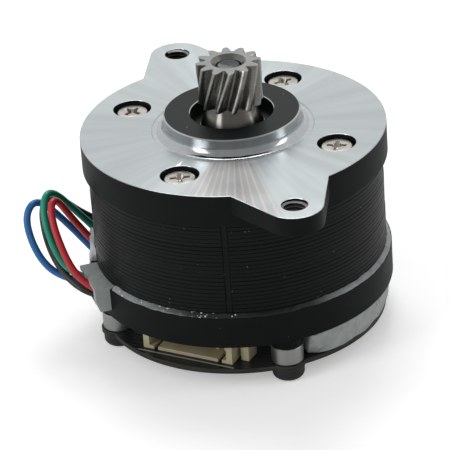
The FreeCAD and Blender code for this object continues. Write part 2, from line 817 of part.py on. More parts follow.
def make_case_screws():
    """Four long screws with cross-recess heads, from the front cap into the rear one."""
    body = new_body("case_screws")
    head_top = -d.case_head_recess
    sketch_x = CASE_SCREW_CIRCLE
    head_sketch = new_sketch(body, "case_head", level=head_top)
    add_circle(head_sketch, d.case_head_radius, sketch_x)
    head = pad(body, head_sketch, d.case_head_height, down=True)
    shank_sketch = new_sketch(body, "case_shank", level=head_top)
    add_shank(shank_sketch, d.screw_radius, sketch_x)
    shank = pad(body, shank_sketch, d.case_head_height + CASE_SCREW_LENGTH, down=True)
    ring(body, [head, shank], d.screw_count)
    place(body, turn=d.case_screw_angle)
    return body


def make_board():
    """The round circuit board with a lobe at each screw."""
    body = new_body("circuit_board")
    disc_sketch = new_sketch(body, "board_disc", level=BOARD_TOP)
    add_circle(disc_sketch, BOARD_RADIUS)
    pad(body, disc_sketch, d.board_thickness, down=True)
    lobe_sketch = new_sketch(body, "board_lobe", level=BOARD_TOP)
    add_circle(lobe_sketch, d.board_lobe_radius, BOARD_SCREW_CIRCLE)
    lobe = pad(body, lobe_sketch, d.board_thickness, down=True)
    ring(body, [lobe], d.screw_count)
    hole_sketch = new_sketch(body, "board_hole", level=BOARD_TOP)
    add_shank(hole_sketch, SCREW_HOLE_RADIUS, BOARD_SCREW_CIRCLE)
    hole = pocket(body, hole_sketch, d.board_thickness)
    ring(body, [hole], d.screw_count)
    return body


def make_board_spacers():
    """Four bright spacers between the rear cap's bosses and the board."""
    body = new_body("board_spacers")
    sketch = new_sketch(body, "spacer", level=BOSS_FACE)
    add_circle(sketch, d.board_boss_radius, BOARD_SCREW_CIRCLE)
    add_shank(sketch, SCREW_HOLE_RADIUS, BOARD_SCREW_CIRCLE)
    spacer = pad(body, sketch, d.spacer_height, down=True)
    ring(body, [spacer], d.screw_count)
    return body


def make_board_screws():
    """Four socket screws that hold the board; the motor stands on their heads."""
    body = new_body("board_screws")
    head_sketch = new_sketch(body, "board_head", level=BOARD_BOTTOM)
    add_circle(head_sketch, d.board_head_radius, BOARD_SCREW_CIRCLE)
    head = pad(body, head_sketch, d.board_head_height, down=True)
    shank_sketch = new_sketch(body, "board_shank", level=BOARD_BOTTOM)
    add_shank(shank_sketch, d.screw_radius, BOARD_SCREW_CIRCLE)
    shank = pad(body, shank_sketch, d.board_thickness + d.spacer_height + d.board_screw_reach)
    ring(body, [head, shank], d.screw_count)
    return body


def make_connector_housing():
    """The side-entry connector: an open box with slots in its lower lip and a hole for each contact."""
    body = new_body("connector_housing")
    half = d.connector_width / 2
    shell_sketch = new_sketch(body, "connector_shell")
    add_outline(shell_sketch, rectangle(CONNECTOR_BACK, -half, CONNECTOR_FRONT, half))
    pad(body, shell_sketch, CONNECTOR_HEIGHT)
    mouth_half = half - d.connector_side_wall
    mouth_sketch = new_sketch(body, "connector_mouth", "YZ_Plane", CONNECTOR_FRONT)
    add_outline(mouth_sketch, rectangle(
        -mouth_half, d.connector_floor, mouth_half, CONNECTOR_HEIGHT - d.connector_floor
    ))
    pocket(body, mouth_sketch, d.connector_depth - d.connector_back_wall)
    slot_outer = mouth_half - d.lip_slot_inset
    slot_inner = slot_outer - d.lip_slot_width
    slot_back = CONNECTOR_FRONT - d.lip_slot_depth
    lip_sketch = new_sketch(body, "connector_lip")
    add_outline(lip_sketch, rectangle(slot_back, slot_inner, CONNECTOR_FRONT, slot_outer))
    add_outline(lip_sketch, rectangle(slot_back, -slot_outer, CONNECTOR_FRONT, -slot_inner))
    pocket(body, lip_sketch, d.connector_floor, up=True)
    hole_sketch = new_sketch(body, "contact_hole", "YZ_Plane", CONNECTOR_BACK)
    first = -(d.contact_pitch * (d.contact_count - 1) / 2)
    hole_half = d.contact_size / 2 + d.contact_fit
    add_outline(hole_sketch, rectangle(
        first - hole_half, d.contact_level - hole_half, first + hole_half, d.contact_level + hole_half
    ))
    hole = pocket(body, hole_sketch, d.connector_back_wall, up=True)
    row_along_y(body, [hole], d.contact_count, d.contact_pitch * (d.contact_count - 1))
    place(body, BOARD_TOP, d.connector_angle)
    return body


def make_connector_contacts():
    """Bent contacts: a blade in the mouth, a drop behind the housing and a foot on the board."""
    body = new_body("connector_contacts")
    size = d.contact_size
    first = -(d.contact_pitch * (d.contact_count - 1) / 2)
    blade_bottom = d.contact_level - size / 2
    blade_top = d.contact_level + size / 2
    drop_back = CONNECTOR_BACK - size - d.contact_fit
    sketch = new_sketch(body, "contact", "XZ_Plane", size / 2 - first)
    add_outline(sketch, [
        (drop_back, blade_top),
        (drop_back, size),
        (drop_back - d.contact_tail, size),
        (drop_back - d.contact_tail, 0),
        (drop_back + size, 0),
        (drop_back + size, blade_bottom),
        (CONNECTOR_FRONT - d.contact_setback, blade_bottom),
        (CONNECTOR_FRONT - d.contact_setback, blade_top),
    ])
    contact = pad(body, sketch, size, down=True)
    row_along_y(body, [contact], d.contact_count, d.contact_pitch * (d.contact_count - 1))
    place(body, BOARD_TOP, d.connector_angle)
    return body


def make_connector_tabs():
    """A bent metal tab at each end of the connector, soldered to the board."""
    body = new_body("connector_tabs")
    side = d.connector_width / 2
    thick = d.tab_thickness
    sketch = new_sketch(body, "tab", "YZ_Plane", CONNECTOR_BACK + d.tab_thickness)
    add_outline(sketch, [
        (side, 0),
        (side + d.tab_foot, 0),
        (side + d.tab_foot, thick),
        (side + thick, thick),
        (side + thick, d.tab_height),
        (side, d.tab_height),
    ])
    pad(body, sketch, d.tab_length)
    other_sketch = new_sketch(body, "other_tab", "YZ_Plane", CONNECTOR_BACK + d.tab_thickness)
    add_outline(other_sketch, [
        (-side, 0),
        (-side, d.tab_height),
        (-side - thick, d.tab_height),
        (-side - thick, thick),
        (-side - d.tab_foot, thick),
        (-side - d.tab_foot, 0),
    ])
    pad(body, other_sketch, d.tab_length)
    place(body, BOARD_TOP, d.connector_angle)
    return body


def make_side_block():
    """The small cream component beside the connector."""
    body = new_body("side_block")
    near = d.connector_width / 2 + d.side_block_gap
    front = CONNECTOR_FRONT - d.side_block_setback
    sketch = new_sketch(body, "block")
    add_outline(sketch, rectangle(front - d.side_block_depth, near, front, near + d.side_block_width))
    pad(body, sketch, CONNECTOR_HEIGHT)
    place(body, BOARD_TOP, d.connector_angle)
    return body


def make_driver_chip():
    """The flat component under the filler."""
    body = new_body("driver_chip")
    half = d.chip_size / 2
    sketch = new_sketch(body, "chip")
    add_outline(sketch, rectangle(CHIP_CIRCLE - half, -half, CHIP_CIRCLE + half, half))
    pad(body, sketch, d.chip_height)
    place(body, BOARD_TOP, d.chip_angle)
    return body


def make_gap_filler():
    """Soft filler between board and rear cap, moulded over the component that it cools."""
    body = new_body("gap_filler")
    end_line = d.board_boss_radius + d.filler_gap
    outer = FILLER_OUTER_RADIUS
    inner = FILLER_INNER_RADIUS
    outer_end = root(outer * outer - end_line * end_line)
    inner_end = root(inner * inner - end_line * end_line)
    sketch = new_sketch(body, "filler")
    add_outline(sketch, [
        (inner_end, end_line),
        (outer_end, end_line, outer, False),
        (end_line, outer_end),
        (end_line, inner_end, inner, True),
    ])
    pad(body, sketch, REAR_FACE - BOARD_TOP)
    bed_sketch = new_sketch(body, "chip_bed")
    turn_sketch(bed_sketch, d.chip_angle)
    half = d.chip_size / 2 + d.filler_fit
    add_outline(bed_sketch, rectangle(CHIP_CIRCLE - half, -half, CHIP_CIRCLE + half, half))
    pocket(body, bed_sketch, d.chip_height + d.filler_fit, up=True)
    turned(body, "filler_taper", [
        (outer - d.filler_taper_width, 0),
        (outer * CUT_REACH, 0),
        (outer * CUT_REACH, d.filler_taper_height),
        (outer, d.filler_taper_height),
    ], kind="Groove")
    place(body, BOARD_TOP)
    return body


def cut_to_motor(body, name, top, bottom, step):
    """Hollows a block to fit the stack above the rear cap's rim and the cap below it."""
    stack_sketch = new_sketch(body, f"{name}_stack", level=top)
    add_circle(stack_sketch, STACK_RADIUS + d.seal_fit)
    pocket(body, stack_sketch, top - step)
    cap_sketch = new_sketch(body, f"{name}_cap", level=bottom)
    add_circle(cap_sketch, d.cap_radius + d.seal_fit)
    pocket(body, cap_sketch, step - bottom, up=True)


def make_exit_seal():
    """A lens of sealant over the notch where the leads leave the motor."""
    body = new_body("exit_seal_blank")
    sketch = new_sketch(body, "exit_lens", level=EXIT_TOP)
    centre_x = EXIT_CENTRE * cosine(d.exit_angle)
    centre_y = EXIT_CENTRE * sine(d.exit_angle)
    add_circle(sketch, d.exit_radius, centre_x, centre_y)
    pad(body, sketch, EXIT_TOP - EXIT_BOTTOM, down=True)
    cut_to_motor(body, "exit", EXIT_TOP, EXIT_BOTTOM, STACK_BOTTOM)
    return body


def make_lead_guide():
    """A hooded block on the side of the rear cap that takes the four leads."""
    body = new_body("lead_guide_blank")
    sketch = new_sketch(body, "guide_block", level=GUIDE_TOP)
    add_outline(sketch, rectangle(d.guide_left, -GUIDE_OUTER, d.guide_right, -GUIDE_INNER))
    pad(body, sketch, GUIDE_TOP - GUIDE_BOTTOM, down=True)
    cut_to_motor(body, "guide", GUIDE_TOP, GUIDE_BOTTOM, STACK_BOTTOM)
    hood_z = GUIDE_TOP - d.guide_hood
    sill_z = GUIDE_BOTTOM + d.guide_sill
    mouth_sketch = new_sketch(body, "guide_mouth", level=hood_z)
    add_outline(mouth_sketch, rectangle(
        d.guide_left, -GUIDE_OUTER, d.guide_right - d.guide_wall, -GUIDE_BACK
    ))
    pocket(body, mouth_sketch, hood_z - sill_z)
    taper_sketch = new_sketch(body, "guide_taper", "YZ_Plane", d.guide_left)
    add_outline(taper_sketch, [
        (-GUIDE_OUTER, GUIDE_BOTTOM),
        (d.guide_taper_width - GUIDE_OUTER, GUIDE_BOTTOM),
        (-GUIDE_OUTER, GUIDE_BOTTOM + d.guide_taper_height),
    ])
    pocket(body, taper_sketch, d.guide_right - d.guide_left, up=True)
    return body


def route_points(points):
    """A lead's route in the motor's frame."""
    side = d.cap_radius.value
    rim = STACK_BOTTOM.value
    return [Vector(x, -side - out, rim + up) for x, out, up in points]


def lead_path(points):
    """Straight runs joined by tangent arcs, and the arcs' radii."""
    corners = route_points(points)
    edges = []
    radii = []
    here = corners[0]
    for before, corner, after in zip(corners, corners[1:], corners[2:]):
        back = (before - corner).normalize()
        ahead = (after - corner).normalize()
        turn = math.pi - back.getAngle(ahead)
        shorter = min((before - corner).Length, (after - corner).Length)
        reach = ARC_SHARE * shorter
        radius = reach / math.tan(turn / 2)
        inward = (back + ahead).normalize()
        middle = corner + inward * (radius / math.cos(turn / 2) - radius)
        arc_start = corner + back * reach
        arc_end = corner + ahead * reach
        edges.append(Part.LineSegment(here, arc_start).toShape())
        edges.append(Part.Arc(arc_start, middle, arc_end).toShape())
        radii.append(round(radius, 2))
        here = arc_end
    edges.append(Part.LineSegment(here, corners[-1]).toShape())
    return Part.Wire(edges), radii


def lead_tube(path, points, radius):
    """A tube along a lead's path, with as many flats as LEAD_SIDES and the area of a round one."""
    start, following = route_points(points)[:2]
    along = (following - start).normalize()
    aside = along.cross(Z_UP).normalize()
    step = 2 * math.pi / LEAD_SIDES
    corner_radius = radius * math.sqrt(step / math.sin(step))
    turns = FreeCAD.Rotation(along, 360 / LEAD_SIDES)
    corners = [start + aside * corner_radius]
    for side in range(LEAD_SIDES):
        aside = turns.multVec(aside)
        corners.append(start + aside * corner_radius)
    section = Part.makePolygon(corners)
    return path.makePipeShell([section], True, False)


def make_leads():
    """The four leads, and the wider tubes that their holes are cut with."""
    leads = []
    bores = []
    for label, points in LEAD_ROUTES.items():
        path, radii = lead_path(points)
        tube = lead_tube(path, points, d.lead_radius.value)
        share = tube.Volume / (math.pi * d.lead_radius.value**2 * path.Length)
        print(label, "length", round(path.Length, 1), "radii", radii, "volume share", round(share, 4))
        lead = doc.addObject("Part::Feature", label)
        lead.Shape = tube
        leads.append(lead)
        bore = doc.addObject("Part::Feature", f"{label}_bore")
        bore.Shape = lead_tube(path, points, d.lead_radius.value + d.lead_fit.value)
        bores.append(bore)
    return leads, bores


def bored(label, blank, bores):
    """A sealed or guiding piece with a hole for each lead."""
    tool = doc.addObject("Part::Compound", f"{label}_bores")
    tool.Links = bores
    piece = doc.addObject("Part::Cut", label)
    piece.Base = blank
    piece.Tool = tool
    doc.recompute()
    if piece.Shape.Volume >= blank.Shape.Volume:
        raise RuntimeError(f"{label} has no holes for the leads")
    return piece


def build():
    """Makes every sub-part and returns them."""
    half_tooth = sized(180) / d.rotor_tooth_count
    leads, bores = make_leads()
    pieces = [
        make_front_end_cap(),
        make_stator_stack(),
        make_insulator("front_insulator", STACK_TOP, False),
        make_insulator("rear_insulator", STACK_BOTTOM, True),
        make_coils("phase_a_coils", 0),
        make_coils("phase_b_coils", 1),
        make_rear_end_cap(),
        make_rotor_cup("front_rotor_cup", ROTOR_TOP - CUP_LENGTH, half_tooth),
        make_rotor_cup("rear_rotor_cup", ROTOR_BOTTOM, sized(0)),
        make_rotor_magnet(),
        make_shaft(),
        make_pinion(),
        make_case_screws(),
        make_board(),
        make_board_spacers(),
        make_board_screws(),
        make_connector_housing(),
        make_connector_contacts(),
        make_connector_tabs(),
        make_side_block(),
        make_driver_chip(),
        make_gap_filler(),
        bored("exit_seal", make_exit_seal(), bores),
        bored("lead_guide", make_lead_guide(), bores),
    ]
    pieces += make_bearing("front", BEARING_MIDDLE)
    pieces += make_bearing("rear", REAR_BEARING_MIDDLE)
    return pieces + leads


def write(pieces):
    """Checks every object of the document and writes each sub-part's solids."""
    doc.recompute()
    for thing in doc.Objects:
        if "Invalid" in thing.State or "Error" in thing.State:
            raise RuntimeError(f"{thing.Label} failed: {thing.State}")
    for piece in pieces:
        if piece.Shape.isNull() or not piece.Shape.isValid() or not piece.Shape.Solids:
            raise RuntimeError(f"{piece.Label} has no valid solid")
    os.makedirs("parts", exist_ok=True)
    for piece in pieces:
        piece.Shape.exportStep(os.path.join("parts", f"{piece.Label}.step"))
        print(piece.Label, len(piece.Shape.Solids), "solids", round(piece.Shape.Volume, 2), "mm3")


write(build())
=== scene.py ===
"""Dresses a flat round extruder motor: bright eared cap, black stack, helical pinion, board and leads."""

import logging
import math
import random
from collections.abc import Callable, Sequence
from dataclasses import dataclass
from enum import Enum

import bpy
from mathutils import Matrix, Vector


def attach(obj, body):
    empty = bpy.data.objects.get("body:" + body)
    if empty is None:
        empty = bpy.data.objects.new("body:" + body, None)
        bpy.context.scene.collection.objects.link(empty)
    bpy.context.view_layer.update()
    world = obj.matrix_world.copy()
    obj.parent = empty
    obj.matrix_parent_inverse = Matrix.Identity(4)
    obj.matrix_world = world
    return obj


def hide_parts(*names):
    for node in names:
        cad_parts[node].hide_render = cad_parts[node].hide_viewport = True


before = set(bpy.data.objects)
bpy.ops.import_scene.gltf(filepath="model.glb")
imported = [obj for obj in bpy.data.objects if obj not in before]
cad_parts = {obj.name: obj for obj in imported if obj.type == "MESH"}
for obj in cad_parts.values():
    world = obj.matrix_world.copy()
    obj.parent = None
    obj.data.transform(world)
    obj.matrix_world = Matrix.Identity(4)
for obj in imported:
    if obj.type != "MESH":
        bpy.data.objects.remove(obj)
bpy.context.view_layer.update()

MM = 0.001
FULL_TURN = 360.0
QUARTERS = (0.0, 90.0, 180.0, 270.0)
# a turned face is rounded to a millionth of a millimetre, so that it is level with what joins it
LEVEL_DIGITS = 9
# in metres
MERGE_GAP = 1e-6
# in degrees
SHARP_ANGLE = 40.0
SMOOTH_ANGLE = 35.0
FLAT_ANGLE = 0.3
COPY_FLAT_ANGLE = 1.0
# how near to a level an edge counts as on it, and how upright the normals of level faces are
LEVEL_SLACK = 0.01
LEVEL_NORMAL = 0.98
NEARLY_LEVEL = 0.9
# how far a cutting tool stands out of what it cuts
CUT_MARGIN = 1.0

Pair = tuple[float, float]
Point = tuple[float, float, float]
Section = Sequence[Pair]
Colour = tuple[float, float, float]
WHITE = (1.0, 1.0, 1.0)
BLACK = (0.0, 0.0, 0.0)
EVENLY = (1.0, 1.0, 1.0)
log = logging.getLogger("motor")


class Body(Enum):
    """The two bodies that pieces ride on."""

    STATOR = "stator"
    ROTOR = "rotor"


class Solid(Enum):
    """How one solid acts on another."""

    JOIN = "UNION"
    CUT = "DIFFERENCE"


class Value:
    """A number on a node's socket. Python expressions on it add Math nodes."""

    def __init__(self, graph: "Graph", socket: bpy.types.NodeSocket) -> None:
        """Wraps one output socket of a graph."""
        self.graph = graph
        self.socket = socket

    def math(self, operation: str, *others: "Value | float", flip: bool = False) -> "Value":
        """Adds a Math node.

        Args:
            operation: the Math node's operation.
            others: the other terms.
            flip: whether this value comes last.

        Returns:
            The result as a value.
        """
        terms = [self, *others]
        if flip:
            terms.reverse()
        node = self.graph.node("ShaderNodeMath", {"operation": operation}, dict(enumerate(terms)))
        return Value(self.graph, node.outputs[0])

    def __add__(self, other: "Value | float") -> "Value":
        """Adds a value or number."""
        return self.math("ADD", other)

    def __sub__(self, other: "Value | float") -> "Value":
        """Takes away a value or number."""
        return self.math("SUBTRACT", other)

    def __rsub__(self, other: float) -> "Value":
        """Takes this value from a number."""
        return self.math("SUBTRACT", other, flip=True)

    def __mul__(self, other: "Value | float") -> "Value":
        """Multiplies by a value or number."""
        return self.math("MULTIPLY", other)

    def __truediv__(self, other: "Value | float") -> "Value":
        """Divides by a value or number."""
        return self.math("DIVIDE", other)

    def __gt__(self, level: "Value | float") -> "Value":
        """1 where this value is above the level, else 0."""
        return self.math("GREATER_THAN", level)

    def __lt__(self, level: "Value | float") -> "Value":
        """1 where this value is below the level, else 0."""
        return self.math("LESS_THAN", level)

    def off(self, level: float) -> "Value":
        """How far this value is from a level, either way."""
        return (self - level).math("ABSOLUTE")

    def between(self, low: float, high: float) -> "Value":
        """Rises smoothly from 0 at the low level to 1 at the high one."""
        node = self.graph.node(
            "ShaderNodeMapRange", {"interpolation_type": "SMOOTHSTEP"}, {0: self, 1: low, 2: high}
        )
        return Value(self.graph, node.outputs[0])


Input = Value | bpy.types.NodeSocket | float | Sequence[float]
Sockets = dict[str, Input]


def toned(colour: Colour, share: float) -> Colour:
    """The colour made lighter or darker by a factor."""
    return tuple(min(1.0, part * share) for part in colour)


class Graph:
    """The node tree of a material, which reads millimetres, or of the world, which reads directions."""

    def __init__(
        self, owner: bpy.types.Material | bpy.types.World, shader: str, source: str, scale: float
    ) -> None:
        """Opens a node tree.

        Args:
            owner: the material or world.
            shader: the name of its shader node.
            source: the coordinates that it reads.
            scale: the factor that those are multiplied by.
        """
        owner.use_nodes = True
        self.owner = owner
        self.tree = owner.node_tree
        self.shader = self.tree.nodes[shader]
        spot = self.node("ShaderNodeTexCoord").outputs[source]
        scaled = self.node("ShaderNodeVectorMath", {"operation": "SCALE"}, {0: spot, "Scale": scale})
        self.place = scaled.outputs[0]
        parts = self.node("ShaderNodeSeparateXYZ", inputs={0: self.place}).outputs
        self.x, self.y, self.z = (Value(self, part) for part in parts)

    @classmethod
    def of_material(cls, name: str) -> "Graph":
        """Starts a material of that name."""
        return cls(bpy.data.materials.new(name), "Principled BSDF", "Object", 1 / MM)

    @classmethod
    def of_world(cls, name: str) -> "Graph":
        """Starts a world of that name."""
        return cls(bpy.data.worlds.new(name), "Background", "Generated", 1.0)

    def put(self, socket: bpy.types.NodeSocket, value: Input) -> None:
        """Links or sets one input socket."""
        if isinstance(value, Value):
            self.tree.links.new(value.socket, socket)
        elif isinstance(value, bpy.types.NodeSocket):
            self.tree.links.new(value, socket)
        elif socket.type == "RGBA" and len(value) == 3:
            socket.default_value = (*value, 1.0)
        else:
            socket.default_value = value

    def node(
        self,
        kind: str,
        settings: dict[str, object] | None = None,
        inputs: dict[str | int, Input] | None = None,
    ) -> bpy.types.Node:
        """Adds a node.

        Args:
            kind: the node's type.
            settings: the node's own settings, set first.
            inputs: values or links by socket name or number.

        Returns:
            The node.
        """
        made = self.tree.nodes.new(kind)
        for key, value in (settings or {}).items():
            setattr(made, key, value)
        for key, value in (inputs or {}).items():
            self.put(made.inputs[key], value)
        return made

    def vector(self, *parts: Value | float) -> bpy.types.NodeSocket:
        """Joins three numbers in a vector."""
        return self.node("ShaderNodeCombineXYZ", inputs=dict(enumerate(parts))).outputs[0]

    def radius(self) -> Value:
        """The distance from the motor's axis, in millimetres."""
        return (self.x * self.x + self.y * self.y).math("SQRT")

    def along(self, direction: Sequence[float]) -> Value:
        """How far the spot lies from the middle in a direction."""
        first, *others = [part * share for part, share in zip((self.x, self.y, self.z), direction)]
        return sum(others, first)

    def ray_is(self, kind: str) -> Value:
        """1 for light rays of that kind, else 0."""
        return Value(self, self.node("ShaderNodeLightPath").outputs[f"Is {kind} Ray"])

    def noise(
        self, scale: float, detail: float, stretch: Point = EVENLY, source: bpy.types.NodeSocket | None = None
    ) -> Value:
        """Cloudy noise from 0 to 1.

        Args:
            scale: how many clouds there are in a millimetre.
            detail: how many finer layers are added.
            stretch: the share of the scale along each axis.
            source: the vector to read in place of the spot in millimetres.

        Returns:
            The noise as a value.
        """
        spots = {0: source or self.place, 1: stretch}
        spread = self.node("ShaderNodeVectorMath", {"operation": "MULTIPLY"}, spots).outputs[0]
        settings = {"Vector": spread, "Scale": scale, "Detail": detail}
        return Value(self, self.node("ShaderNodeTexNoise", inputs=settings).outputs[0])

    def specks(self, spacing: float, size: float, share: float) -> Value:
        """Small scattered dots.

        Args:
            spacing: the mean distance between places where a dot may be, in millimetres.
            size: a dot's radius in millimetres.
            share: the share of those places that hold a dot.

        Returns:
            1 inside a dot, else 0.
        """
        cells = self.node("ShaderNodeTexVoronoi", inputs={"Vector": self.place, "Scale": 1 / spacing})
        pick = self.node("ShaderNodeSeparateColor", inputs={0: cells.outputs["Color"]}).outputs
        reach = Value(self, pick[1]) * (size / spacing)
        inside = reach - Value(self, cells.outputs["Distance"])
        return (inside > 0.0) * (Value(self, pick[0]) < share)

    def mix(self, factor: Value | float, first: Input, second: Input) -> bpy.types.NodeSocket:
        """Goes from the first colour to the second as the factor goes from 0 to 1."""
        return self.node("ShaderNodeMix", {"data_type": "RGBA"}, {0: factor, 6: first, 7: second}).outputs[2]

    def tones(self, factor: Value, colour: Colour, low: float, high: float) -> bpy.types.NodeSocket:
        """Goes from one tone of a colour to another as the factor goes from 0 to 1."""
        return self.mix(factor, toned(colour, low), toned(colour, high))

    def bump(self, height: Value, depth: float) -> bpy.types.NodeSocket:
        """A normal for a relief of that depth in millimetres."""
        return self.node("ShaderNodeBump", inputs={"Height": height, "Distance": depth * MM}).outputs[0]

    def finish(self, sockets: Sockets) -> bpy.types.Material | bpy.types.World:
        """Sets the shader's sockets by name and gives the tree's owner."""
        for name, value in sockets.items():
            self.put(self.shader.inputs[name], value)
        return self.owner


@dataclass(frozen=True)
class Finish:
    """A surface finish with its own procedural material."""

    name: str
    colour: Colour
    roughness: float

    def sockets(self, graph: Graph) -> Sockets:
        """The shader's socket values by name."""
        raise NotImplementedError

    def material(self) -> bpy.types.Material:
        """The finish's material, made once."""
        made = bpy.data.materials.get(self.name)
        if made is None:
            graph = Graph.of_material(self.name)
            made = graph.finish(self.sockets(graph))
        return made


@dataclass(frozen=True)
class TurnedMetal(Finish):
    """Metal cut on a lathe: fine rings about the motor's axis, with faint streaks along the radius. Where
    painted_share is set, painted shade and pink painted reflection streaks lie on the side that faces the
    camera.
    """

    anisotropy: float = 0.7
    ring_depth: float = 0.002
    streak: float = 0.06
    # the pink and the spacing in degrees of the painted reflection streaks, the side facing the camera where
    # they and the painted shade lie, and how strongly both are laid on
    painted_streak_tint: Colour = (0.64, 0.51, 0.475)
    painted_streak_step: float = 2.9
    painted_side: Pair = (0.9397, -0.342)
    painted_share: float = 0.0

    def toward_painted_side(self, graph: Graph) -> Value:
        """1 in the middle of the painted side, which faces the camera, and less to both sides of it."""
        return graph.along(self.painted_side) / graph.radius()

    def sockets(self, graph: Graph) -> Sockets:
        """Rings in the relief, streaks and smears in tone and roughness, with painted shade and painted
        reflection streaks on the side facing the camera.
        """
        radius = graph.radius()
        ray = graph.vector(graph.x / radius, graph.y / radius, radius * 0.004)
        streaks = graph.noise(11.0, 3.0, source=ray)
        # painted shade darkens the side facing the camera, where the face's highlight fan falls, and pink
        # painted reflection streaks lie across it
        painted_front = self.toward_painted_side(graph).between(0.953, 0.982) * self.painted_share
        angle = graph.y.math("ARCTAN2", graph.x)
        painted_streaks = (angle * (FULL_TURN / self.painted_streak_step) + streaks * 3.0).math("SINE")
        rings = graph.noise(7.0, 2.0, source=graph.vector(radius, 0.0, 0.0))
        smear = graph.noise(0.22, 3.0)
        metal = graph.tones(streaks.between(0.3, 0.7), self.colour, 1 - self.streak, 1 + self.streak)
        shade_painted = graph.mix(painted_front * 0.45, metal, toned(self.colour, 0.64))
        tone = graph.mix(painted_streaks.between(0.25, 0.9) * painted_front, shade_painted, self.painted_streak_tint)
        pits = graph.specks(3.2, 0.16, 0.18)
        return {
            "Base Color": graph.mix(pits * 0.7, tone, toned(self.colour, 0.25)),
            "Metallic": 1.0,
            "Roughness": smear * 0.12 + streaks * 0.08 + (self.roughness - 0.1),
            "Anisotropic": self.anisotropy,
            "Anisotropic Rotation": 0.25,
            "Normal": graph.bump(rings, self.ring_depth),
        }


@dataclass(frozen=True)
class PaintedFootShade(TurnedMetal):
    """Turned metal with a broken dark line painted along the foot of the boss on the side facing the camera:
    painted shade and a painted reflection of dark surroundings.
    """

    foot: float = 8.56
    foot_width: float = 0.2

    def sockets(self, graph: Graph) -> Sockets:
        """Paints a broken dark line of shade along the foot."""
        made = super().sockets(graph)
        line = graph.radius().off(self.foot) < graph.noise(0.5, 1.0) * self.foot_width
        # painted shade: a dark line at the foot, only on the side facing the camera
        foot_shade = line * self.toward_painted_side(graph).between(0.8, 0.92)
        made["Base Color"] = graph.mix(foot_shade, made["Base Color"], toned(self.colour, 0.04))
        return made


@dataclass(frozen=True)
class GrainMetal(Finish):
    """Metal with a fine grain, clouded by handling."""

    cloud: Colour = (0.5, 0.5, 0.5)
    grain_depth: float = 0.004

    def sockets(self, graph: Graph) -> Sockets:
        """Grain in the relief, clouds in colour and roughness."""
        clouds = graph.noise(0.7, 3.0)
        grain = graph.noise(9.0, 3.0)
        return {
            "Base Color": graph.mix(clouds.between(0.35, 0.7), self.colour, self.cloud),
            "Metallic": 1.0,
            "Roughness": grain * 0.16 + clouds * 0.1 + (self.roughness - 0.13),
            "Normal": graph.bump(grain, self.grain_depth),
        }


@dataclass(frozen=True)
class ShadedPolishedEnd(Finish):
    """A ground end with one part polished and painted darker: the dark colour is painted shade on that side.
    """

    painted_shade_colour: Colour = (0.045, 0.052, 0.055)
    side: Pair = (-0.585, 0.811)
    border: float = -0.1
    border_width: float = 0.08

    def sockets(self, graph: Graph) -> Sockets:
        """A ragged border between the ground part and the polished part, which has painted shade."""
        across = graph.along(self.side) + graph.noise(1.4, 2.0) * 0.6
        # the polished part's lower roughness is its polish; its dark colour is painted shade
        polished_and_shaded = across.between(self.border, self.border + self.border_width)
        grain = graph.noise(9.0, 3.0)
        return {
            "Base Color": graph.mix(polished_and_shaded, self.colour, self.painted_shade_colour),
            "Metallic": 1.0,
            "Roughness": grain * 0.1 + self.roughness - polished_and_shaded * 0.12,
            "Normal": graph.bump(grain, 0.002),
        }


@dataclass(frozen=True)
class SatinCoat(Finish):
    """A black satin coat with a fine grain and a little dust."""

    gloss: float = 0.3
    dust: Colour = (0.5, 0.52, 0.52)
    dust_share: float = 0.6

    def sockets(self, graph: Graph) -> Sockets:
        """Dust in the colour, clouds in the roughness, grain in the relief."""
        clouds = graph.noise(0.3, 3.0)
        grain = graph.noise(12.0, 2.0)
        coat = graph.tones(clouds, self.colour, 0.75, 1.3)
        soiled = graph.mix(graph.specks(0.7, 0.05, 0.12) * 0.3, coat, self.dust)
        return {
            "Base Color": graph.mix(graph.specks(1.8, 0.1, self.dust_share), soiled, self.dust),
            "Roughness": clouds * 0.14 + grain * 0.08 + (self.roughness - 0.1),
            "Specular IOR Level": self.gloss,
            "Normal": graph.bump(grain, 0.006),
        }


@dataclass(frozen=True)
class LaminationEdge(Finish):
    """Black sheet edges in a stack: each sheet has its own tone, with light scuffs across them."""

    sheet: float = 0.5
    gloss: float = 0.35
    dust: Colour = (0.5, 0.51, 0.5)

    def sockets(self, graph: Graph) -> Sockets:
        """Tone and roughness by sheet, scuffs and dust in the colour."""
        by_sheet = graph.vector(graph.x * 0.02, graph.y * 0.02, graph.z / self.sheet)
        tones = graph.noise(1.7, 1.0, source=by_sheet)
        grain = graph.noise(3.0, 3.0, (1.0, 1.0, 4.0))
        scuffs = graph.noise(0.9, 4.0, (1.0, 1.0, 0.3)).between(0.58, 0.8)
        paint = graph.tones(tones.between(0.3, 0.7), self.colour, 0.8, 1.25)
        worn = graph.mix(scuffs * 0.2, paint, toned(self.colour, 3.0))
        return {
            "Base Color": graph.mix(graph.specks(0.62, 0.055, 0.4) * 0.6, worn, self.dust),
            "Roughness": tones * 0.2 + grain * 0.1 + (self.roughness - 0.15),
            "Specular IOR Level": self.gloss,
            "Normal": graph.bump(grain, 0.012),
        }


@dataclass(frozen=True)
class Moulding(Finish):
    """Moulded plastic or rubber with slight flow marks."""

    shade: Colour = (0.5, 0.45, 0.35)
    grain_depth: float = 0.01

    def sockets(self, graph: Graph) -> Sockets:
        """Flow marks in the colour, grain in relief and roughness."""
        flow = graph.noise(0.8, 3.0, (1.0, 1.0, 0.5))
        grain = graph.noise(8.0, 2.0)
        return {
            "Base Color": graph.mix(flow.between(0.35, 0.7), self.colour, self.shade),
            "Roughness": grain * 0.12 + flow * 0.1 + (self.roughness - 0.1),
            "Specular IOR Level": 0.4,
            "Normal": graph.bump(grain, self.grain_depth),
        }


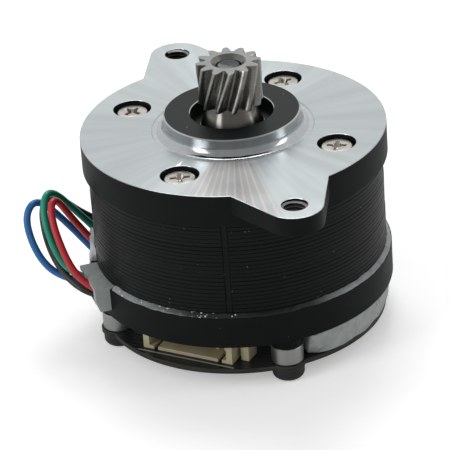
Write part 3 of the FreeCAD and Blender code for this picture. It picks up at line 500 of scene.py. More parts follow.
@dataclass(frozen=True)
class Putty(Finish):
    """Sealant or filler that was pressed on by hand: mottled, speckled and cracked."""

    fleck: Colour = (0.2, 0.21, 0.21)
    fleck_share: float = 0.25
    crack_width: float = 0.0

    def sockets(self, graph: Graph) -> Sockets:
        """Mottling and flecks in the colour, lumps and cracks in the relief, with painted shade in the
        cracks.
        """
        lumps = graph.noise(0.9, 4.0)
        grain = graph.noise(6.0, 2.0)
        flecks = graph.specks(0.8, 0.15, self.fleck_share)
        warp = graph.vector(graph.x + lumps * 1.5, graph.y + grain * 0.4, graph.z + lumps)
        edges = graph.node(
            "ShaderNodeTexVoronoi", {"feature": "DISTANCE_TO_EDGE"}, {"Vector": warp, "Scale": 0.33}
        )
        cracked = graph.noise(0.45, 2.0).between(0.5, 0.62)
        cracks_relief_and_shade = (Value(graph, edges.outputs[0]) < self.crack_width) * cracked
        mottled = graph.tones(lumps.between(0.3, 0.7), self.colour, 0.86, 1.1)
        flecked = graph.mix(flecks * 0.6, mottled, self.fleck)
        return {
            # the cracks' dark colour is painted shade
            "Base Color": graph.mix(cracks_relief_and_shade * 0.7, flecked, self.fleck),
            "Roughness": lumps * 0.2 + (self.roughness - 0.1),
            "Specular IOR Level": 0.4,
            "Normal": graph.bump(lumps * 0.6 + grain * 0.3 - cracks_relief_and_shade * 0.5, 0.06),
        }


@dataclass(frozen=True)
class FrontShadedPutty(Putty):
    """Sealant painted dark on the stretch that faces the camera, as painted shade, and pale at both sides."""

    # the painted shade's colour, the crumbs' colour and reach, where the painted shade is centred, and where
    # it ends and the pale sides begin
    painted_front: Colour = (0.008, 0.009, 0.0092)
    crumb: Colour = (0.72, 0.74, 0.74)
    crumbs_to: float = -6.0
    middle: float = -4.0
    shade_to: float = 6.0
    pale_from: float = 13.0

    def sockets(self, graph: Graph) -> Sockets:
        """As the putty, with painted shade on the stretch between the two sides and bright crumbs on its
        left.
        """
        made = super().sockets(graph)
        # painted shade: dark on the stretch facing the camera, the putty's own colour at the sides
        side = graph.y.off(self.middle).between(self.shade_to, self.pale_from)
        shade_painted = graph.mix(side, self.painted_front, made["Base Color"])
        crumbs = graph.specks(0.32, 0.13, 0.75) * (graph.y < self.crumbs_to)
        made["Base Color"] = graph.mix(crumbs * 0.8, shade_painted, self.crumb)
        return made


@dataclass(frozen=True)
class Insulation(Finish):
    """A lead's soft plastic skin, slightly mottled, with a waxy sheen."""

    scuffed: Colour = (0.6, 0.6, 0.6)

    def sockets(self, graph: Graph) -> Sockets:
        """Mottling in the colour and roughness, faint lumps in the relief."""
        mottle = graph.noise(1.3, 3.0)
        grain = graph.noise(7.0, 2.0)
        scuff = graph.noise(2.1, 4.0).between(0.6, 0.8)
        skin = graph.tones(mottle, self.colour, 0.85, 1.15)
        return {
            "Base Color": graph.mix(scuff * 0.12, skin, self.scuffed),
            "Roughness": mottle * 0.12 + grain * 0.06 + (self.roughness - 0.08),
            "Specular IOR Level": 0.45,
            "Normal": graph.bump(grain, 0.008),
        }


@dataclass(frozen=True)
class BoardResist(Finish):
    """Dark solder resist over raised tracks, with a printed line in front of the connector."""

    turn: float = 45.0
    ink: Colour = (0.45, 0.46, 0.45)
    line_reach: float = 15.45
    line_span: float = 6.3
    line_half: float = 0.1
    line_level: float = -23.3

    def sockets(self, graph: Graph) -> Sockets:
        """Tracks in the relief and a little in the colour, with the line and dust over them."""
        turned = graph.node(
            "ShaderNodeMapping", {"vector_type": "TEXTURE"},
            {"Vector": graph.place, "Rotation": (0.0, 0.0, math.radians(self.turn))},
        )
        tracks = graph.node(
            "ShaderNodeTexBrick",
            {"offset": 0.37, "squash": 1.6, "squash_frequency": 3},
            {
                "Vector": turned.outputs[0], "Color1": WHITE, "Color2": (0.8, 0.8, 0.8), "Mortar": BLACK,
                "Scale": 0.42, "Mortar Size": 0.035, "Mortar Smooth": 0.3, "Brick Width": 1.9,
                "Row Height": 0.27,
            },
        )
        raised = Value(graph, tracks.outputs["Fac"])
        clouds = graph.noise(0.5, 3.0)
        ahead = graph.along(polar(1.0, -self.turn))
        aside = graph.along(polar(1.0, self.turn))
        line = (ahead.off(self.line_reach) < self.line_half) * (aside.off(0.0) < self.line_span)
        marks = graph.specks(1.6, 0.1, 0.2) * 0.6 + line * (graph.z > self.line_level) * 0.9
        resist = graph.tones(raised * 0.7, self.colour, 1.0, 1.9)
        return {
            "Base Color": graph.mix(marks, resist, self.ink),
            "Roughness": clouds * 0.16 + (self.roughness - 0.08),
            "Specular IOR Level": 0.4,
            "Normal": graph.bump(raised + clouds * 0.1, 0.03),
        }


@dataclass(frozen=True)
class BoardEdge(Finish):
    """The sawn edge of a glass laminate, with its plies."""

    def sockets(self, graph: Graph) -> Sockets:
        """Plies in the colour, saw marks in the relief."""
        plies = graph.noise(5.0, 2.0, (0.05, 0.05, 1.0))
        fibres = graph.noise(6.0, 3.0)
        return {
            "Base Color": graph.tones(plies.between(0.35, 0.65), self.colour, 1.0, 1.9),
            "Roughness": fibres * 0.15 + self.roughness,
            "Specular IOR Level": 0.3,
            "Normal": graph.bump(fibres * 0.5 + plies * 0.5, 0.03),
        }


@dataclass(frozen=True)
class WireWinding(Finish):
    """Enamelled wire wound close, turn beside turn."""

    wire: float = 0.28

    def sockets(self, graph: Graph) -> Sockets:
        """Round wires in the relief, with painted shade in the grooves between the turns and random tones."""
        turn = graph.radius() * (2 * math.pi / self.wire)
        crowns_and_shade = turn.math("SINE") * 0.5 + 0.5
        tones = graph.noise(1.1, 2.0)
        return {
            # darker in the grooves between turns: painted shade
            "Base Color": graph.tones(crowns_and_shade * 0.7 + tones * 0.3, self.colour, 0.35, 1.0),
            "Metallic": 0.8,
            "Roughness": tones * 0.15 + self.roughness,
            "Normal": graph.bump(crowns_and_shade, 0.08),
        }


# the face carries painted shade and painted reflection streaks on the side facing the camera
BRIGHT_FACE = TurnedMetal(
    "turned_face", (0.45, 0.487, 0.492), 0.3, anisotropy=0.5, streak=0.05, painted_share=0.7
)
# the boss's wall has a painted dark line of shade along its foot
BOSS_WALL = PaintedFootShade("boss_wall", (0.4, 0.42, 0.43), 0.17, anisotropy=0.3, ring_depth=0.004, streak=0.04)
SPACER_SKIN = TurnedMetal("turned_spacer", (0.375, 0.39, 0.375), 0.4, anisotropy=0.2, ring_depth=0.01)
# the turned hub's steel is darker than the teeth's: painted shade of the bore and countersink that it lies in
PINION_HUB = TurnedMetal("pinion_hub_steel", (0.16, 0.155, 0.14), 0.22, anisotropy=0.8, ring_depth=0.001)
BLACK_COAT = SatinCoat("black_coat", (0.0055, 0.0072, 0.007), 0.44, gloss=0.08)
BOSS_TOP = SatinCoat("boss_top_coat", (0.0045, 0.0063, 0.0065), 0.37, gloss=0.125, dust_share=0.3)
BLACK_SCREW = SatinCoat("blackened_screw", (0.012, 0.0125, 0.0125), 0.38, gloss=0.45, dust_share=0.1)
STACK_EDGE = LaminationEdge("lamination_edges", (0.0042, 0.0054, 0.0054), 0.38, gloss=0.125)
STACK_CORE = LaminationEdge("lamination_core", (0.0045, 0.005, 0.005), 0.6, gloss=0.06)
DARK_STEEL = GrainMetal("pinion_steel", (0.32, 0.315, 0.295), 0.29, (0.24, 0.235, 0.215), 0.003)
PINION_END = GrainMetal("pinion_end_steel", (0.25, 0.255, 0.252), 0.42, (0.22, 0.226, 0.222))
GROUND_STEEL = GrainMetal("ground_steel", (0.5, 0.5, 0.5), 0.25, (0.42, 0.42, 0.43))
# dark partly as the shield's own colour and partly as painted shade of the bore that it sits in
BEARING_SHIELD = GrainMetal("bearing_shield", (0.13, 0.14, 0.14), 0.3, (0.09, 0.096, 0.096))
NICKEL = GrainMetal("nickel_plate", (0.5, 0.48, 0.44), 0.27, (0.38, 0.36, 0.32))
THREAD_METAL = GrainMetal("cut_thread", (0.22, 0.22, 0.21), 0.32, (0.15, 0.15, 0.145))
TINNED = GrainMetal("tinned_contact", (0.68, 0.66, 0.6), 0.32, (0.55, 0.52, 0.45))
MAGNET_PLATE = GrainMetal("magnet_plate", (0.5, 0.5, 0.51), 0.3, (0.42, 0.42, 0.43))
ROTOR_TEETH = GrainMetal("rotor_laminations", (0.42, 0.42, 0.43), 0.4, (0.33, 0.33, 0.34))
# the shaft's end is painted darker on one side: painted shade
SHAFT_END = ShadedPolishedEnd("shaft_end_steel", (0.15, 0.157, 0.155), 0.3)
COPPER_WIRE = WireWinding("copper_wire", (0.62, 0.25, 0.09), 0.3)
END_FRAME = Moulding("end_frame", (0.62, 0.61, 0.57), 0.5, (0.56, 0.55, 0.5))
CREAM = Moulding("cream_moulding", (0.5, 0.45, 0.295), 0.42, (0.43, 0.38, 0.245))
CHIP_EPOXY = Moulding("chip_epoxy", (0.02, 0.02, 0.021), 0.55, (0.028, 0.028, 0.03))
GUIDE_GREY = Moulding("guide_rubber", (0.375, 0.405, 0.4), 0.5, (0.315, 0.34, 0.335), 0.02)
SEALANT = Putty("pale_sealant", (0.56, 0.59, 0.61), 0.4, fleck_share=0.08)
FILLER = Putty("gap_filler_putty", (0.36, 0.385, 0.37), 0.6, (0.1, 0.11, 0.105), 0.7, 0.02)
# the bead has painted shade on the stretch facing the camera
BEAD_SEALANT = FrontShadedPutty("bead_sealant", (0.26, 0.28, 0.28), 0.3, (0.5, 0.52, 0.53), 0.3)
RESIST = BoardResist("board_resist", (0.008, 0.0105, 0.009), 0.34)
LAMINATE = BoardEdge("board_edge", (0.018, 0.0175, 0.014), 0.5)
BLUE_SKIN = Insulation("blue_insulation", (0.014, 0.135, 0.39), 0.36)
GREEN_SKIN = Insulation("green_insulation", (0.006, 0.27, 0.17), 0.36)
RED_SKIN = Insulation("red_insulation", (0.5, 0.02, 0.03), 0.36)
BLACK_SKIN = Insulation("black_insulation", (0.012, 0.0125, 0.012), 0.4)

# the CAD nodes that stay in view or inside as they are, with their finishes
NODE_FINISHES = {
    STACK_CORE: ("stator_stack",),
    ROTOR_TEETH: ("front_rotor_cup", "rear_rotor_cup"),
    MAGNET_PLATE: ("rotor_magnet",),
    GROUND_STEEL: ("front_bearing_inner_race", "rear_bearing_inner_race"),
    BEARING_SHIELD: ("front_bearing_outer_race", "rear_bearing_outer_race"),
    COPPER_WIRE: ("phase_a_coils", "phase_b_coils"),
    END_FRAME: ("front_insulator", "rear_insulator"),
    TINNED: ("connector_contacts", "connector_tabs"),
    CHIP_EPOXY: ("driver_chip",),
}


def polar(reach: float, angle: float) -> Pair:
    """The spot at a distance from the axis and an angle in degrees."""
    return reach * math.cos(math.radians(angle)), reach * math.sin(math.radians(angle))


def arc(centre: Pair, radius: float, start: float, end: float, steps: int) -> list[Pair]:
    """Points on an arc, both ends included, with angles in degrees."""
    spots = [polar(radius, start + (end - start) * step / steps) for step in range(steps + 1)]
    return [(centre[0] + across, centre[1] + along) for across, along in spots]


def reach_of(spot: Vector) -> float:
    """How far a spot is from the motor's axis."""
    return math.hypot(spot.x, spot.y)


def edges_at(
    *levels: float, over: float = 0.0, under: float = math.inf
) -> Callable[[Vector], bool]:
    """A test for edges on one of the levels, between two distances from the axis."""

    def chosen(spot: Vector) -> bool:
        """Whether an edge with that middle is one of them."""
        off = min(abs(spot.z - level) for level in levels)
        return off < LEVEL_SLACK and over < reach_of(spot) < under

    return chosen


def about_axis(angle: float) -> Matrix:
    """A turn about the motor's axis, in degrees."""
    return Matrix.Rotation(math.radians(angle), 4, "Z")


def four_places(reach: float, start: float, turns: Sequence[float]) -> list[Point]:
    """Four places round the axis: for each its distance, its angle and the copy's own turn."""
    return [(reach, start + quarter, turn) for quarter, turn in zip(QUARTERS, turns)]


def bench(obj: bpy.types.Object | None = None) -> None:
    """Leaves edit mode and makes one object, or none, the only selected one."""
    active = bpy.context.view_layer.objects.active
    if active is not None and active.mode != "OBJECT":
        bpy.ops.object.mode_set(mode="OBJECT")
    bpy.ops.object.select_all(action="DESELECT")
    if obj is not None:
        obj.select_set(True)
        bpy.context.view_layer.objects.active = obj


def linked(name: str, data: bpy.types.ID) -> bpy.types.Object:
    """A new object in the scene with that data."""
    obj = bpy.data.objects.new(name, data)
    bpy.context.scene.collection.objects.link(obj)
    return obj


def hand_over(obj: bpy.types.Object, body: Body, slot: str, *nodes: str) -> None:
    """Rides a finished object on its body, in place of the CAD nodes that it stands for."""
    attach(obj, body.value)
    if nodes:
        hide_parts(*nodes)
    log.info("%s on %s for %s", obj.name, body.value, ", ".join(nodes) or "no node")


def dress_nodes() -> None:
    """Gives the CAD nodes that stay their finishes."""
    for finish, nodes in NODE_FINISHES.items():
        for node in nodes:
            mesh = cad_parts[node].data
            mesh.materials.clear()
            mesh.materials.append(finish.material())
            log.info("%s dressed in %s", node, finish.name)


class Piece:
    """One piece on the bench, shaped with Blender's operators. All lengths are in millimetres."""

    def __init__(self, obj: bpy.types.Object, name: str) -> None:
        """Takes an object and names it and its mesh."""
        self.obj = obj
        obj.name = name
        obj.data.name = name

    @property
    def mesh(self) -> bpy.types.Mesh:
        """The piece's mesh."""
        return self.obj.data

    @classmethod
    def chain(cls, name: str, points: Sequence[Point]) -> "Piece":
        """Extrudes one vertex along a closed line.

        Args:
            name: the piece's name.
            points: the line's corners.

        Returns:
            A piece of edges alone.
        """
        bench()
        bpy.ops.mesh.primitive_plane_add(size=MM, calc_uvs=False, location=Vector(points[0]) * MM)
        piece = cls(bpy.context.object, name)
        piece.edit()
        bpy.ops.mesh.merge(type="CENTER")
        for here, there in zip(points, points[1:]):
            step = (Vector(there) - Vector(here)) * MM
            bpy.ops.mesh.extrude_vertices_move(TRANSFORM_OT_translate={"value": step})
        bench(piece.obj)
        piece.mesh.vertices[0].select = True
        piece.edit(action=None)
        bpy.ops.mesh.edge_face_add()
        return piece.settle()

    @classmethod
    def turned(
        cls, name: str, section: Section, steps: int, start: float = 0.0, sweep: float = FULL_TURN
    ) -> "Piece":
        """Spins a section about the motor's axis.

        Args:
            name: the piece's name.
            section: corners as radius and height.
            steps: how many steps the spin has.
            start: the first angle in degrees.
            sweep: the swept angle in degrees.

        Returns:
            The closed piece.
        """
        piece = cls.chain(name, [(*polar(radius, start), level) for radius, level in section])
        piece.edit()
        if sweep < FULL_TURN:
            bpy.ops.mesh.edge_face_add()
        bpy.ops.mesh.spin(steps=steps, angle=-math.radians(sweep), center=(0, 0, 0), axis=(0, 0, 1))
        return piece.heal()

    @classmethod
    def prism(cls, name: str, outline: Sequence[Pair], low: float, high: float, layers: int = 1) -> "Piece":
        """Extrudes a flat outline upwards.

        Args:
            name: the piece's name.
            outline: its corners as x and y.
            low: the lower level.
            high: the upper level.
            layers: how many steps the height is divided in.

        Returns:
            The closed piece.
        """
        piece = cls.chain(name, [(*corner, low) for corner in outline])
        piece.edit()
        bpy.ops.mesh.edge_face_add()
        rise = (0.0, 0.0, (high - low) / layers * MM)
        for _ in range(layers):
            bpy.ops.mesh.extrude_region_move(TRANSFORM_OT_translate={"value": rise})
        return piece.heal()

    @classmethod
    def rod(
        cls, name: str, radius: float, low: Point, height: float, sides: int = 48, top_radius: float = 0.0
    ) -> "Piece":
        """A round or many-sided rod that stands on its low point, for cutting.

        Args:
            name: the piece's name.
            radius: the radius at its foot.
            low: the middle of its foot.
            height: its height.
            sides: how many sides it has.
            top_radius: the radius at its top, if that isn't the same.

        Returns:
            The closed piece.
        """
        bench()
        bpy.ops.mesh.primitive_cone_add(
            vertices=sides, radius1=radius * MM, radius2=(top_radius or radius) * MM, depth=height * MM,
            calc_uvs=False, location=(Vector(low) + Vector((0.0, 0.0, height / 2))) * MM,
        )
        return cls(bpy.context.object, name).settle()

    @classmethod
    def block(cls, name: str, low: Point, high: Point) -> "Piece":
        """A block between two corners, for cutting."""
        bench()
        middle = (Vector(low) + Vector(high)) / 2 * MM
        size = (Vector(high) - Vector(low)) * MM
        bpy.ops.mesh.primitive_cube_add(size=1.0, calc_uvs=False, location=middle, scale=size)
        return cls(bpy.context.object, name).settle()

    @classmethod
    def copied_node(cls, node: str, name: str) -> "Piece":
        """A merged copy of a CAD node's mesh, with its flat faces made whole."""
        bench()
        piece = cls(linked(name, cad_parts[node].data.copy()), name)
        piece.mesh.materials.clear()
        piece.edit()
        bpy.ops.mesh.remove_doubles(threshold=MERGE_GAP)
        bpy.ops.mesh.dissolve_limited(angle_limit=math.radians(COPY_FLAT_ANGLE))
        bench(piece.obj)
        if piece.mesh.has_custom_normals:
            bpy.ops.mesh.customdata_custom_splitnormals_clear()
        return piece

    def edit(self, mode: str = "VERT", action: str | None = "SELECT") -> None:
        """Opens this piece alone in edit mode.

        Args:
            mode: whether vertices, edges or faces are selected.
            action: what is done to the selection, which stays as it is without one.
        """
        bench(self.obj)
        bpy.ops.object.mode_set(mode="EDIT")
        bpy.ops.mesh.select_mode(type=mode)
        if action:
            bpy.ops.mesh.select_all(action=action)

    def settle(self) -> "Piece":
        """Puts the piece's place in its mesh."""
        bench(self.obj)
        bpy.ops.object.transform_apply(location=True, rotation=True, scale=True)
        return self

    def heal(self) -> "Piece":
        """Merges doubles and points all faces outwards."""
        self.edit()
        bpy.ops.mesh.remove_doubles(threshold=MERGE_GAP)
        bpy.ops.mesh.normals_make_consistent(inside=False)
        bench(self.obj)
        return self

    def join_flats(self) -> "Piece":
        """Makes whole the flat faces that cuts and joins have divided."""
        self.heal().edit("EDGE")
        bpy.ops.mesh.dissolve_limited(angle_limit=math.radians(FLAT_ANGLE))
        bench(self.obj)
        return self

    def modify(self, kind: str, **settings: object) -> "Piece":
        """Adds a modifier with its settings and applies it."""
        bench(self.obj)
        modifier = self.obj.modifiers.new(kind.lower(), kind)
        for key, value in settings.items():
            setattr(modifier, key, value)
        bpy.ops.object.modifier_apply(modifier=modifier.name)
        return self

    def combine(self, other: "Piece", act: Solid) -> "Piece":
        """Joins another solid to this one, or cuts it away, and uses it up."""
        self.modify("BOOLEAN", operation=act.value, solver="EXACT", object=other.obj)
        bpy.data.meshes.remove(other.mesh)
        return self

    def round_edges(
        self, width: float, segments: int, chosen: Callable[[Vector], bool] | None = None
    ) -> "Piece":
        """Bevels sharp edges.

        Args:
            width: the bevel's width.
            segments: how many strips it has.
            chosen: says from an edge's middle whether it is bevelled; all are if it isn't given.

        Returns:
            This piece.
        """
        self.edit("EDGE", "DESELECT")
        bpy.ops.mesh.edges_select_sharp(sharpness=math.radians(SHARP_ANGLE))
        bench(self.obj)
        if chosen is not None:
            corners = self.mesh.vertices
            for edge in self.mesh.edges:
                middle = (corners[edge.vertices[0]].co + corners[edge.vertices[1]].co) / (2 * MM)
                edge.select = edge.select and chosen(middle)
            kept = {index for edge in self.mesh.edges if edge.select for index in edge.vertices}
            for vertex in corners:
                vertex.select = vertex.index in kept
        self.edit("EDGE", None)
        bpy.ops.mesh.bevel(offset=width * MM, segments=segments, affect="EDGES", clamp_overlap=True)
        bench(self.obj)
        return self

    def lumpy(self, height: float, width: float, middle: float = 0.6) -> "Piece":
        """Makes the surface uneven.

        Args:
            height: the height of the lumps.
            width: the width of the lumps.
            middle: the share of the height that goes inwards.

        Returns:
            This piece.
        """
        clouds = bpy.data.textures.new(f"{self.obj.name}_lumps", "CLOUDS")
        clouds.noise_scale = width * MM
        return self.modify(
            "DISPLACE", texture=clouds, strength=height * MM, mid_level=middle, texture_coords="LOCAL"
        )

    def soften(self, voxel: float, lump: float, lump_size: float) -> "Piece":
        """Makes a pressed, hand-shaped solid: remeshed, smoothed and slightly lumpy.

        Args:
            voxel: the size of the new mesh's cells.
            lump: the height of the lumps.
            lump_size: the width of the lumps.

        Returns:
            This piece.
        """
        self.modify("REMESH", mode="VOXEL", voxel_size=voxel * MM)
        self.modify("SMOOTH", factor=0.5, iterations=8)
        return self.lumpy(lump, lump_size)

    def repeated(self, places: Sequence[Point]) -> "Piece":
        """Copies the piece round the axis and joins the copies.

        Args:
            places: for each copy its distance from the axis, its angle there and its own turn.

        Returns:
            One piece with all copies.
        """
        name = self.obj.name
        copies = []
        for reach, angle, turn in places:
            copy = self.obj.copy()
            copy.data = self.mesh.copy()
            shift = Matrix.Translation(Vector((reach * MM, 0.0, 0.0)))
            copy.data.transform(about_axis(angle) @ shift @ about_axis(turn))
            bpy.context.scene.collection.objects.link(copy)
            copies.append(copy)
        bpy.data.meshes.remove(self.mesh)
        bench(copies[0])
        for copy in copies:
            copy.select_set(True)
        bpy.ops.object.join()
        return Piece(copies[0], name)

    def dress(self, finish: Finish, *others: tuple[Finish, Callable[[Vector, Vector], bool]]) -> "Piece":
        """Gives the piece its finish, and others to the faces that they choose.

        Args:
            finish: the finish of the whole piece.
            others: finishes, each with a test of a face's middle and normal.

        Returns:
            This piece.
        """
        self.mesh.materials.clear()
        self.mesh.materials.append(finish.material())
        for number, (other, chosen) in enumerate(others, start=1):
            self.mesh.materials.append(other.material())
            for face in self.mesh.polygons:
                if chosen(face.center / MM, face.normal):
                    face.material_index = number
        return self

    def done(self, body: Body, slot: str, *nodes: str) -> None:
        """Shades the piece, rides it on its body and reports it.

        Args:
            body: the body that carries it.
            slot: the record's material slot; not used.
            nodes: the CAD nodes that it stands for.
        """
        bench(self.obj)
        bpy.ops.object.shade_smooth_by_angle(angle=math.radians(SMOOTH_ANGLE))
        self.modify("WEIGHTED_NORMAL", keep_sharp=True)
        self.mesh.use_auto_texspace = False
        self.mesh.texspace_location = (0.0, 0.0, 0.0)
        self.mesh.texspace_size = (1.0, 1.0, 1.0)
        hand_over(self.obj, body, slot, *nodes)


@dataclass
class FrontCap:
    """The eared front cap with its boss, tapped ears and case screws."""

    radius: float = 17.95
    height: float = 3.8
    seat_radius: float = 6.51
    seat_level: float = 0.2
    bore_radius: float = 4.9
    boss_radius: float = 8.0
    boss_height: float = 2.0
    boss_chamfer: float = 0.13
    bore_chamfer: float = 0.08
    boss_fillet: float = 1.15
    relief_depth: float = 0.12
    relief_radius: float = 9.45
    room_inner: float = 8.0
    room_outer: float = 15.2
    room_roof: float = -1.7
    ear_reach: float = 21.92
    ear_tip: float = 3.29
    ear_thickness: float = 2.3
    ear_root_angle: float = 19.0
    ear_overlap: float = 0.8
    ear_hole: float = 1.5
    edge: float = 0.06
    # where the finishes meet: the wall's and the bore's range and the start of the face's edges
    wall_from: float = 7.7
    wall_to: float = 9.65
    wall_low: float = -0.3
    bore_to: float = 5.2
    bore_low: float = 1.7
    bore_slope: float = 0.2
    edge_slope: float = 0.3
    top_low: float = 1.9
    face_low: float = -0.2
    face_from: float = 9.9
    # the ears' threads
    thread_depth: float = 0.26
    thread_pitch: float = 0.45
    thread_turns: int = 4
    thread_steps: int = 36
    thread_inset: float = 0.1
    thread_sink: float = 0.02
    thread_foot: float = 0.36
    thread_crest: Pair = (0.15, 0.21)
    thread_turn: float = 40.0
    # the case screws
    screw_start: float = 45.0
    screw_circle: float = 13.4
    screw_turns: tuple[float, ...] = (18.0, 52.0, 74.0, 33.0)
    counterbore: float = 2.25
    counterbore_depth: float = 1.16
    drill_height: float = 3.0
    head_radius: float = 1.9
    head_top: float = -0.36
    head_rim: float = 0.28
    head_dome: Section = ((0.0, 0.02), (0.9, 0.01))
    shank_radius: float = 1.2
    shank_end: float = -18.96
    shank_chamfer: float = 0.4
    recess_arm: Pair = (1.25, 0.27)
    recess_low: float = -1.0
    recess_taper: float = 0.5
    recess_margin: float = 0.1
    heart_radii: Pair = (0.3, 0.72)
    heart_low: float = -1.05
    heart_height: float = 1.0

    def section(self) -> Section:
        """The turned cap's section, from the bore outwards."""
        top = self.boss_height
        slant = self.boss_chamfer
        foot = self.boss_radius + self.boss_fillet
        hollow = arc((foot, self.boss_fillet - self.relief_depth), self.boss_fillet, 180.0, 270.0, steps=10)
        return [
            (self.bore_radius, self.seat_level),
            (self.bore_radius, top - self.bore_chamfer),
            (self.bore_radius + self.bore_chamfer, top),
            (self.boss_radius - slant, top),
            (self.boss_radius, top - slant),
            *hollow,
            (self.relief_radius, -self.relief_depth),
            (self.relief_radius + self.relief_depth, 0.0),
            (self.radius, 0.0),
            (self.radius, -self.height),
            (self.room_outer, -self.height),
            (self.room_outer, self.room_roof),
            (self.room_inner, self.room_roof),
            (self.room_inner, -self.height),
            (self.seat_radius, -self.height),
            (self.seat_radius, self.seat_level),
        ]

    def ear_outline(self) -> list[Pair]:
        """One ear from above: straight flanks from inside the cap to the round tip, which they touch."""
        corner = Vector(polar(self.radius, self.ear_root_angle))
        run = Vector((self.ear_reach, 0.0)) - corner
        lean = math.atan2(run.y, run.x) + math.asin(self.ear_tip / run.length)
        touch = 90.0 + math.degrees(lean)
        tip = arc((self.ear_reach, 0.0), self.ear_tip, -touch, touch, steps=28)
        corner += (corner - Vector(tip[-1])).normalized() * self.ear_overlap
        inner = (self.radius + self.boss_radius) / 2
        return [(inner, corner.y), (inner, -corner.y), (corner.x, -corner.y), *tip, (corner.x, corner.y)]

    def build_cap(self) -> None:
        """Turns the cap, adds the ears, and bores the ear holes and counterbores."""
        cap = Piece.turned("front_cap", self.section(), steps=144)
        for vertex in cap.mesh.vertices:
            vertex.co.z = round(vertex.co.z, LEVEL_DIGITS)
        for side in (0.0, 180.0):
            ear = Piece.prism("ear", self.ear_outline(), -self.ear_thickness, 0.0)
            ear.mesh.transform(about_axis(side))
            cap.combine(ear, Solid.JOIN)
        for reach in (self.ear_reach, -self.ear_reach):
            low = (reach, 0.0, -self.ear_thickness - CUT_MARGIN)
            drill = Piece.rod("ear_drill", self.ear_hole, low, self.ear_thickness + 2 * CUT_MARGIN)
            cap.combine(drill, Solid.CUT)
        for quarter in QUARTERS:
            low = (*polar(self.screw_circle, self.screw_start + quarter), -self.counterbore_depth)
            cap.combine(Piece.rod("sink_drill", self.counterbore, low, self.drill_height), Solid.CUT)
        cap.join_flats()
        cap.round_edges(self.edge, 2, edges_at(0.0, over=self.face_from))
        cap.dress(BLACK_COAT, (BRIGHT_FACE, self.is_face), (BOSS_WALL, self.is_bare), (BOSS_TOP, self.is_top))
        cap.done(Body.STATOR, "front_end_cap", "front_end_cap")

    def is_face(self, spot: Vector, normal: Vector) -> bool:
        """Whether a face is part of the bright face or of the relief round the boss."""
        return normal.z > LEVEL_NORMAL and self.face_low < spot.z < LEVEL_SLACK

    def is_top(self, spot: Vector, normal: Vector) -> bool:
        """Whether a face is the boss's top."""
        return normal.z > LEVEL_NORMAL and spot.z > self.top_low

    def is_bare(self, spot: Vector, normal: Vector) -> bool:
        """Whether a face is polished: the boss's wall and foot, its chamfers and the face's edges."""
        reach = reach_of(spot)
        on_boss = self.wall_from < reach < self.wall_to and spot.z > self.wall_low
        on_bore = reach < self.bore_to and spot.z > self.bore_low and normal.z > self.bore_slope
        on_edge = reach > self.face_from and spot.z > -self.edge and normal.z > self.edge_slope
        return normal.z < LEVEL_NORMAL and (on_boss or on_bore or on_edge)

    def build_threads(self) -> None:
        """Cuts the ears' threads as one ridge that winds down each hole."""
        wall = self.ear_hole + self.thread_sink
        crest = self.ear_hole - self.thread_depth
        low = -self.ear_thickness + self.thread_inset
        under, over = self.thread_crest
        thread = Piece.chain("ear_threads", [
            (wall, 0.0, low),
            (wall, 0.0, low + self.thread_foot),
            (crest, 0.0, low + over),
            (crest, 0.0, low + under),
        ])
        thread.modify(
            "SCREW", angle=2 * math.pi, screw_offset=self.thread_pitch * MM, iterations=self.thread_turns,
            steps=self.thread_steps, render_steps=self.thread_steps, use_merge_vertices=True,
            merge_threshold=MERGE_GAP,
        )
        thread.edit("EDGE", "DESELECT")
        bpy.ops.mesh.select_non_manifold()
        bpy.ops.mesh.fill_holes(sides=4)
        places = [(self.ear_reach, 0.0, 0.0), (self.ear_reach, 180.0, self.thread_turn)]
        pair = thread.heal().repeated(places)
        pair.dress(THREAD_METAL).done(Body.STATOR, "front_end_cap")

    def build_screws(self) -> None:
        """Turns one case screw, sinks its cross recess and sets four of them."""
        rim = self.head_rim
        screw = Piece.turned("case_screw_set", [
            *((reach, self.head_top + rise) for reach, rise in self.head_dome),
            *arc((self.head_radius - rim, self.head_top - rim), rim, 80.0, 0.0, steps=5),
            (self.head_radius, -self.counterbore_depth),
            (self.shank_radius, -self.counterbore_depth),
            (self.shank_radius, self.shank_end + self.shank_chamfer),
            (self.shank_radius - self.shank_chamfer, self.shank_end),
            (0.0, self.shank_end),
        ], steps=48)
        low = self.recess_low
        high = self.head_top + self.recess_margin
        for across, along in (self.recess_arm, self.recess_arm[::-1]):
            arm = Piece.block("cross_arm", (-across, -along, low), (across, along, high))
            for vertex in arm.mesh.vertices:
                if vertex.co.z < (low + LEVEL_SLACK) * MM:
                    vertex.co.xy = vertex.co.xy * self.recess_taper
            screw.combine(arm, Solid.CUT)
        narrow, wide = self.heart_radii
        foot = (0.0, 0.0, self.heart_low)
        heart = Piece.rod("cross_heart", narrow, foot, self.heart_height, sides=16, top_radius=wide)
        screw.combine(heart, Solid.CUT).heal()
        screws = screw.repeated(four_places(self.screw_circle, self.screw_start, self.screw_turns))
        screws.dress(NICKEL).done(Body.STATOR, "case_screws", "case_screws")

    def build(self) -> None:
        """Builds the cap, its threads and its screws."""
        self.build_cap()
        self.build_threads()
        self.build_screws()


